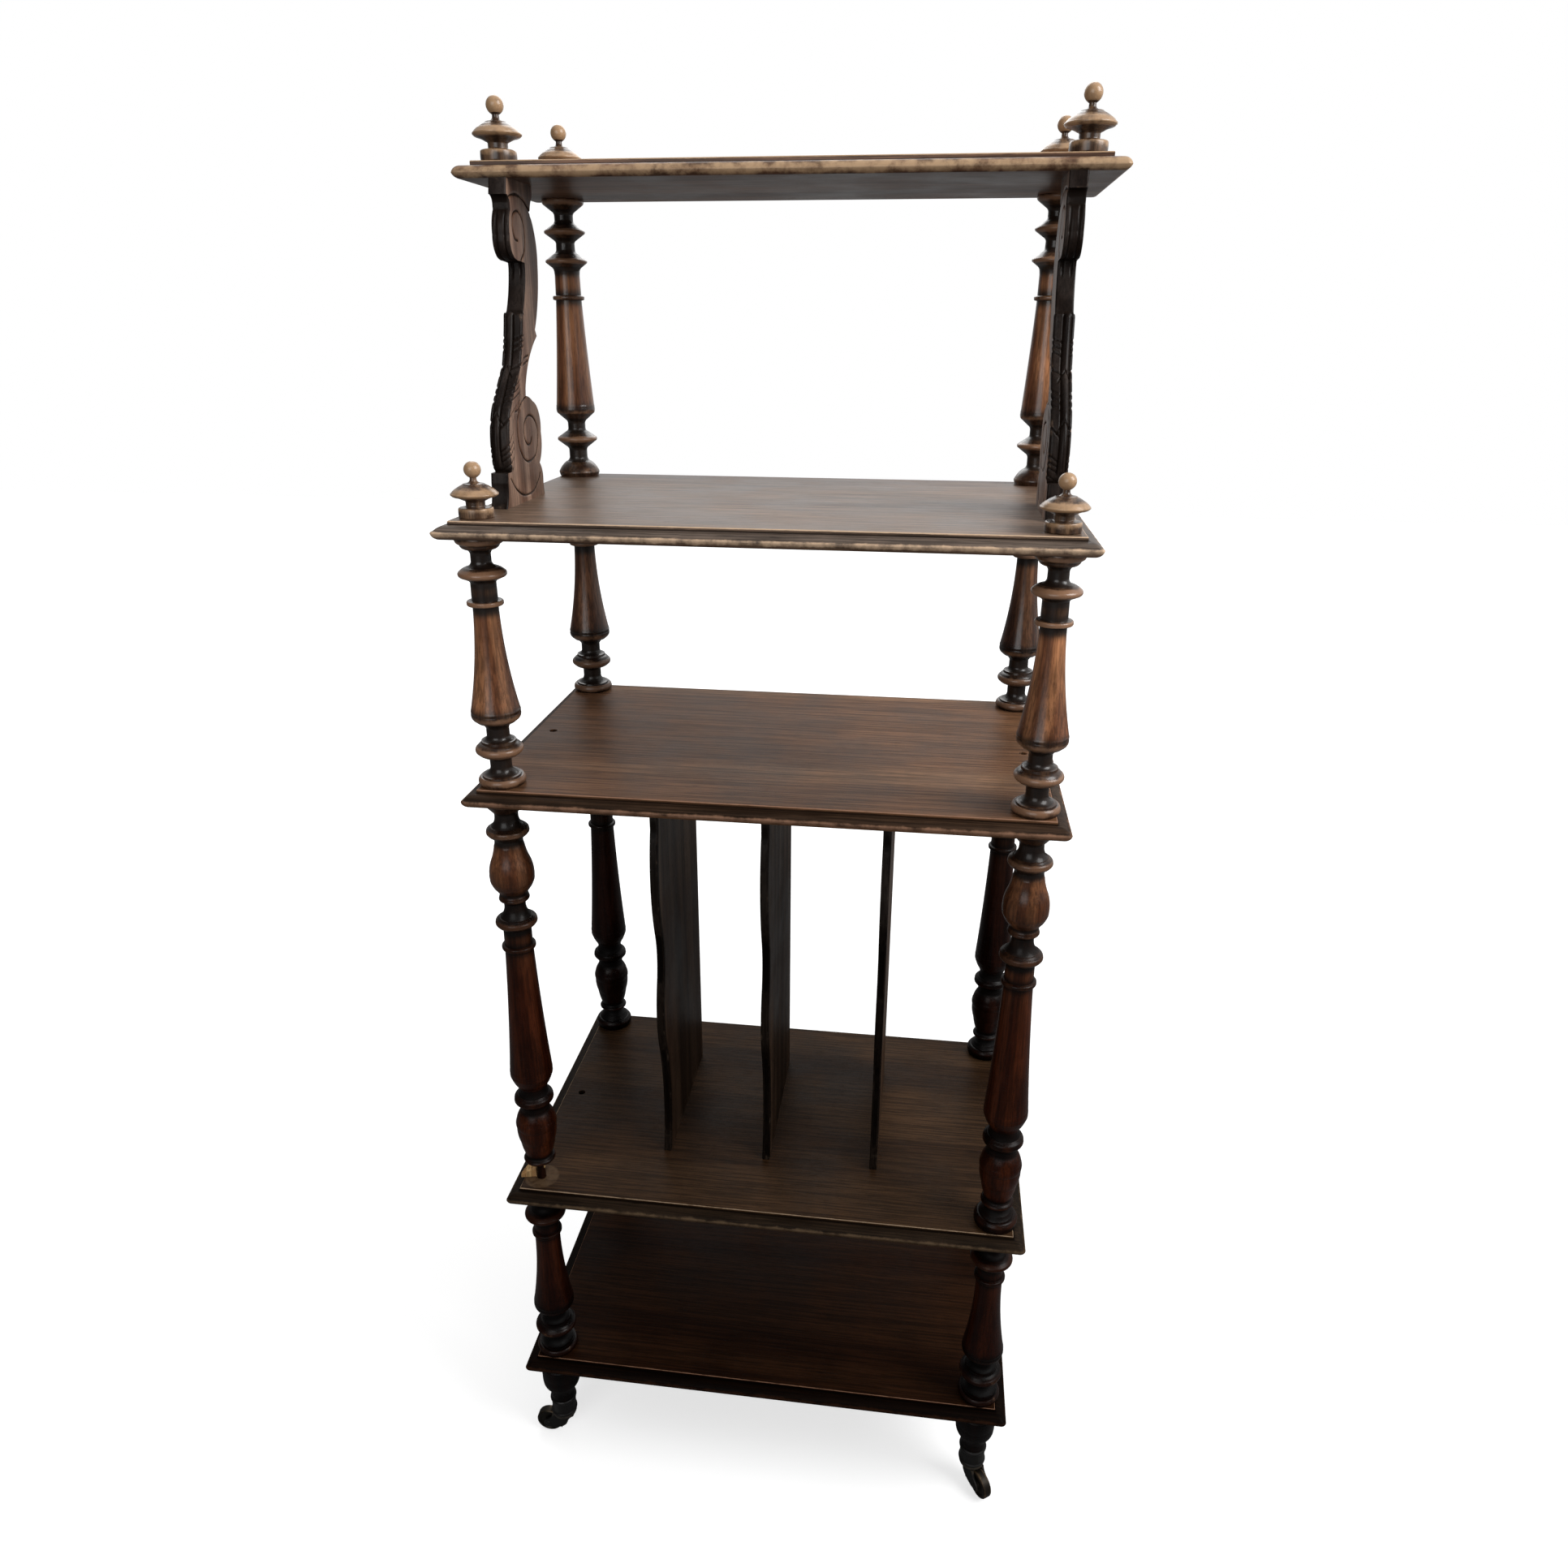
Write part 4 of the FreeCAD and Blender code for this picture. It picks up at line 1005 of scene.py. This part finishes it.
def bore_peg_holes(board, node):
    """Cuts the two peg holes through a shelf, half way back, and keeps its wear to its moulding."""
    low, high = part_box(node)
    across = high.x - PEG_HOLE_INSET * MM
    parts = [turning(PEG_HOLE, (side * across, 0, low.z), cuts=PEG_HOLE_CUTS) for side, _ in SIDES]
    cutter = piece("peg_hole_cutter", parts, "frame", FOOT_WALNUT, [])
    cut = board.modifiers.new("peg_holes", "BOOLEAN")
    cut.object = cutter
    cut.solver = "EXACT"
    evaluated = board.evaluated_get(bpy.context.evaluated_depsgraph_get())
    mesh = bpy.data.meshes.new_from_object(evaluated)
    board.data = mesh
    board.modifiers.clear()
    bpy.data.objects.remove(cutter)
    points = np.empty(len(mesh.vertices) * 3, np.float32)
    mesh.vertices.foreach_get("co", points)
    points = points.reshape(-1, 3)
    inward = np.minimum(points - np.array(low), np.array(high) - points)[:, :2].min(1)
    wear = np.empty(len(points), np.float32)
    attribute = mesh.attributes["wear"].data
    attribute.foreach_get("value", wear)
    attribute.foreach_set("value", wear * (inward < MOULDING_RUN * MM))
    mesh.set_sharp_from_angle(angle=PEG_HOLE_SHARP_ANGLE)


def column_piece(node, part, wood):
    piece(node + "_turning", [part], "frame", wood, [node])


def make_columns():
    for corner in CORNERS:
        # Rear columns below the upper shelf take the darker copy, as painted shade; the display columns
        # take the lit one.
        wood = SHADED_REAR_TURNED_WALNUT if corner in REAR else TURNED_WALNUT
        for tier, shelf, profile in (
            ("bottom", "bottom_shelf", BOTTOM_COLUMN), ("middle", "middle_shelf", SHORT_COLUMN)
        ):
            node = tier + "_column_" + corner
            low = top_of(shelf)
            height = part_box(node)[1].z - low
            place = (*COLUMN_PLACES[corner], low)
            part = turning(profile, place, height_share=height / (SHORT_COLUMN_HEIGHT * MM))
            column_piece(node, part, wood)
        node = "music_column_" + corner
        place = (*COLUMN_PLACES[corner], top_of("music_shelf"))
        if corner == "front_left":
            make_broken_column(node, place)
        else:
            column_piece(node, turning(MUSIC_COLUMN, place), wood)
    for corner in REAR:
        node = "display_column_" + corner
        place = (*COLUMN_PLACES[corner], top_of("upper_shelf"))
        column_piece(node, turning(DISPLAY_COLUMN, place), TURNED_WALNUT)


def make_broken_column(node, place):
    """The column that lost its base ring: a break made jagged by sines of the angle and the radius,
    its bare tenon, a wedge and a splinter."""
    left = [(BREAK_HEIGHT, 11.6, 0)] + [row for row in MUSIC_COLUMN if row[0] > BREAK_HEIGHT + 1]
    points, faces, wear, shade = turning(left, place)
    height = (points[:, 2] - place[2]) / MM
    angle = np.arctan2(points[:, 1] - place[1], points[:, 0] - place[0])
    radius = np.hypot(points[:, 0] - place[0], points[:, 1] - place[1]) / MM
    jag = 1.3 * np.sin(5 * angle + 0.5 * radius) + 0.9 * np.sin(11 * angle + 1.7)
    jag = jag + 0.6 * np.cos(23 * angle)
    at_break = smooth_step(BREAK_HEIGHT + 1.5, BREAK_HEIGHT, height) * smooth_step(2, 9, radius)
    points[:, 2] += jag * MM * at_break
    column_piece(node, (points, faces, wear, shade), TURNED_WALNUT)
    tenon = turning(TENON, place, cuts=SMALL_CUTS)
    piece(node + "_tenon", [tenon], "frame", FOOT_WALNUT, [])
    beside = np.array(place) + np.array((*SPLINTER_PLACE, 0)) * MM
    splinter = turning(SPLINTER, beside, cuts=SPLINTER_CUTS)
    piece(node + "_chip", [wedge(place), splinter[:2]], "frame", RAW_WOOD, [])


def wedge(place):
    """A wedge of the base ring: its section is carried round a part of the ring, where it is highest
    half way, and sines of the way and of the radius roughen its broken top."""
    section = np.array(WEDGE)
    turn = np.linspace(0, 1, WEDGE_CUTS)[:, None]
    rough = 0.7 * np.sin(9 * turn + section[:, 0]) + 0.4 * np.sin(31 * turn + 1.3 * section[:, 0])
    top = smooth_step(2, 5, section[:, 1])
    radius = section[:, 0] + 0 * turn
    height = section[:, 1] * (0.78 + 0.22 * np.sin(math.pi * turn)) + rough * top
    angle = WEDGE_START + WEDGE_TURN * turn
    grid = np.stack([radius * np.cos(angle), radius * np.sin(angle), height], -1) * MM + np.array(place)
    first = np.broadcast_to(grid[:1].mean(1, keepdims=True), grid[:1].shape)
    last = np.broadcast_to(grid[-1:].mean(1, keepdims=True), grid[-1:].shape)
    grid = np.concatenate([first, grid, last])[::-1]
    return grid.reshape(-1, 3), grid_faces(grid.shape[0], grid.shape[1], wrap_columns=True)


def make_finials():
    """One turning in two sizes, each as high and as wide as the node that it replaces."""
    stands = [("shelf_finial_" + corner, "upper_shelf") for corner in FRONT]
    stands += [("top_finial_" + corner, "top_shelf") for corner in CORNERS]
    for node, shelf in stands:
        low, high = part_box(node)
        middle = middle_of(node)
        points, faces, wear, shade = turning(
            FINIAL, (middle[0], middle[1], top_of(shelf)), step=SMALL_STEP,
            height_share=(high.z - top_of(shelf)) / (FINIAL_HEIGHT * MM),
            radius_share=(high.x - low.x) / (2 * FINIAL_RADIUS * MM),
        )
        wear = np.maximum(wear, BALL_WEAR * (points[:, 2] > high.z - BALL_HEIGHT * MM))
        part = (points, faces, wear, shade)
        piece(node + "_turning", [part], "frame", FINIAL_WALNUT, [node])


def make_brackets():
    """The two scroll brackets, mirror images: each leaf's rib stands nearer the outer face."""
    front, rear = (
        [(y * FOOT_DEPTH, z * BRACKET_HEIGHT, bulge) for y, z, bulge in outline]
        for outline in (BRACKET_FRONT, BRACKET_REAR)
    )
    for side, name in SIDES:
        relief = partial(bracket_relief, side * LEAF_RIB_PLACE)
        part = slab(
            front, rear, BRACKET_STATIONS, BRACKET_HALF_THICKNESS, BRACKET_ROUNDING, BRACKET_STEP,
            BRACKET_FACE_CUTS, relief
        )
        node = "scroll_bracket_" + name
        low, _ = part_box(node)
        place = (middle_of(node)[0], low.y, BRACKET_BOTTOM)
        piece(node + "_board", [placed(part, place)], "frame", CARVED_WALNUT, [node])


def make_dividers():
    """Three alike: the waved front edge, and a straight rear edge at the node's own."""
    low = top_of("music_shelf")
    height = (underside_of("middle_shelf") - low) / MM
    front = [(0, z * height, bulge) for z, bulge in DIVIDER_WAVE]
    rear = [(DIVIDER_DEPTH, z * height, 0) for z, _ in DIVIDER_WAVE]
    stations = [(k, k) for k in range(len(front))]
    part = slab(
        front, rear, stations, DIVIDER_HALF_THICKNESS, DIVIDER_ROUNDING, DIVIDER_STEP, DIVIDER_FACE_CUTS
    )
    for name in ("left", "middle", "right"):
        node = "music_divider_" + name
        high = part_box(node)[1]
        place = (middle_of(node)[0], high.y - DIVIDER_DEPTH * MM, low)
        piece(node + "_board", [placed(part, place)], "frame", DIVIDER_WALNUT, [node])


def make_wheel():
    """A wheel round the X axis: its section's ends meet, so the rings that close a turning on its
    own axis are left out, and the bore stays open."""
    points = turning(WHEEL, (0, 0, 0), cuts=WHEEL_CUTS, step=SMALL_STEP)[0]
    points = points[WHEEL_CUTS:-WHEEL_CUTS]
    rings = len(points) // WHEEL_CUTS
    return laid((points, grid_faces(rings, WHEEL_CUTS, wrap_rows=True, wrap_columns=True)))


def corner_piece(kind, corner, parts, body, material=CASTER_IRON, ending="casting"):
    node = kind + "_" + corner
    piece(node + "_" + ending, parts, body, material, [node])


def make_casters():
    """Feet, cups, forks, axles and wheels. A fork is its crown, its neck and two cheeks beside the
    wheel, turned so that it trails towards the frame's own wheel."""
    stations = [(k, k) for k in range(len(CHEEK_REAR))]
    cuts = (CASTER_STEP, CASTER_FACE_CUTS)
    cheek = slab(CHEEK_REAR, CHEEK_FRONT, stations, CHEEK_HALF_THICKNESS, CHEEK_ROUNDING, *cuts)
    neck = slab(NECK_REAR, NECK_FRONT, stations[:-1], NECK_HALF_WIDTH, NECK_ROUNDING, *cuts)
    cheeks = [placed(cheek, (side * CHEEK_PLACE * MM, 0, 0)) for side, _ in SIDES]
    rivet = laid(turning(RIVET, (0, 0, 0), cuts=SMALL_CUTS, step=RIVET_STEP))
    wheel = make_wheel()
    for corner in CORNERS:
        x, y = COLUMN_PLACES[corner]
        axle = middle_of("caster_wheel_" + corner)
        turn = math.atan2(axle[1] - y, axle[0] - x) - QUARTER_TURN
        cup_bottom = underside_of("caster_cup_" + corner)
        foot = turning(FOOT, (x, y, top_of("caster_cup_" + corner)))
        cup = turning(CUP, (x, y, cup_bottom))
        crown = turning(CROWN, (x, y, cup_bottom - CROWN_DROP * MM))
        horn = [crown] + [placed(part, (x, y, 0), turn) for part in [neck] + cheeks]
        corner_piece("turned_foot", corner, [foot], "frame", FOOT_WALNUT, "turning")
        corner_piece("caster_cup", corner, [cup], "frame")
        corner_piece("caster_horn", corner, horn, "horn_" + corner)
        corner_piece("caster_axle", corner, [placed(rivet, axle, turn)], "horn_" + corner, ending="rivet")
        wheel_part = placed(wheel, axle, turn)
        corner_piece("caster_wheel", corner, [wheel_part], "wheel_" + corner, WHEEL_IRON)


# Stage, light and camera, in metres: lamps have their place, what they aim at, size and power

FLOOR_HALF = 8.0
BRIGHT_SIDE = (0.50, 0.62, 0.60)
LAMPS = (
    ("key", (2.2, -0.7, 2.7), (0, 0, 1.2), 1.6, 70),
    ("fill", (-0.6, -2.6, 2.0), (0, 0, 1.1), 1.8, 30),
    ("rear", (-0.4, 2.4, 3.0), (0, 0, 1.1), 2.4, 34),
)

# The camera stands where the photograph was taken: its place, its axes, and its lens in millimetres
CAMERA_PLACE = (0.15159, -1.17420, 1.36604)
CAMERA_RIGHT = (0.991408, 0.130763, 0.003350)
CAMERA_UP = (-0.053209, 0.379757, 0.923555)
CAMERA_BACK = (0.119494, -0.915798, 0.383452)
CAMERA_LENS = 25.721
CAMERA_SENSOR = 36.0
CAMERA_SHIFT = (0.00208, 0.00443)

def make_floor():
    """A pale floor that keeps the object's shadow. Where it is seen it glows, more so away from the
    object, so that it reads as white."""
    mesh = bpy.data.meshes.new("floor")
    corners = [(x * FLOOR_HALF, y * FLOOR_HALF, 0) for x, y in ((-1, -1), (1, -1), (1, 1), (-1, 1))]
    mesh.from_pydata(corners, [], [(0, 1, 2, 3)])
    floor = bpy.data.objects.new("floor", mesh)
    bpy.context.scene.collection.objects.link(floor)
    material, tree, shader = new_material("pale_floor")
    seen = add(tree, "ShaderNodeLightPath").outputs["Is Camera Ray"]
    place = add(tree, "ShaderNodeTexCoord").outputs["Object"]
    away = add(tree, "ShaderNodeVectorMath", {0: place}, operation="LENGTH").outputs["Value"]
    glow = math_of(tree, "MULTIPLY", seen, mapped(tree, away, 0.5, 2.5, 0.62, 1.0))
    paleness = mapped(tree, seen, 0.0, 1.0, 0.16, 0.55)
    diffuse = add(tree, "ShaderNodeBsdfDiffuse", {"Color": paleness})
    light = add(tree, "ShaderNodeEmission", {"Color": (1, 1, 1, 1), "Strength": glow})
    both = add(tree, "ShaderNodeAddShader", {0: diffuse.outputs[0], 1: light.outputs[0]})
    tree.links.new(both.outputs[0], tree.nodes["Material Output"].inputs["Surface"])
    mesh.materials.append(material)


def make_world():
    """White where it is seen, and otherwise a soft room, bright behind and above the object on its
    right and dim in front of it."""
    world = bpy.data.worlds.new("studio")
    bpy.context.scene.world = world
    world.use_nodes = True
    tree = world.node_tree
    seen = add(tree, "ShaderNodeLightPath").outputs["Is Camera Ray"]
    way = add(tree, "ShaderNodeTexCoord").outputs["Generated"]
    toward = add(tree, "ShaderNodeVectorMath", {0: way, 1: BRIGHT_SIDE}, operation="DOT_PRODUCT")
    room = mapped(tree, toward.outputs["Value"], -0.30, 0.85, 0.06, 0.75)
    strength = math_of(tree, "MAXIMUM", seen, room)
    background = tree.nodes["Background"]
    background.inputs["Color"].default_value = (1, 1, 1, 1)
    tree.links.new(strength, background.inputs["Strength"])


def make_light(name, place, aim, size, power):
    data = bpy.data.lights.new(name, "AREA")
    data.shape = "SQUARE"
    data.size = size
    data.energy = power
    light = bpy.data.objects.new(name, data)
    bpy.context.scene.collection.objects.link(light)
    direction = np.array(aim) - np.array(place)
    back = -direction / np.linalg.norm(direction)
    right = np.cross((0, 0, 1), back)
    right /= np.linalg.norm(right)
    up = np.cross(back, right)
    turn = Matrix(np.stack([right, up, back], -1).tolist()).to_4x4()
    light.matrix_world = Matrix.Translation(place) @ turn


def make_camera():
    data = bpy.data.cameras.new("camera")
    data.sensor_width = CAMERA_SENSOR
    data.lens = CAMERA_LENS
    data.shift_x, data.shift_y = CAMERA_SHIFT
    data.clip_start = 0.05
    camera = bpy.data.objects.new("camera", data)
    bpy.context.scene.collection.objects.link(camera)
    axes = np.array([CAMERA_RIGHT, CAMERA_UP, CAMERA_BACK]).T
    camera.matrix_world = Matrix.Translation(CAMERA_PLACE) @ Matrix(axes.tolist()).to_4x4()
    bpy.context.scene.camera = camera


make_shelves()
make_columns()
make_finials()
make_brackets()
make_dividers()
make_casters()
make_floor()
make_world()
for lamp in LAMPS:
    make_light(*lamp)
make_camera()
bpy.context.scene.view_settings.view_transform = "Standard"
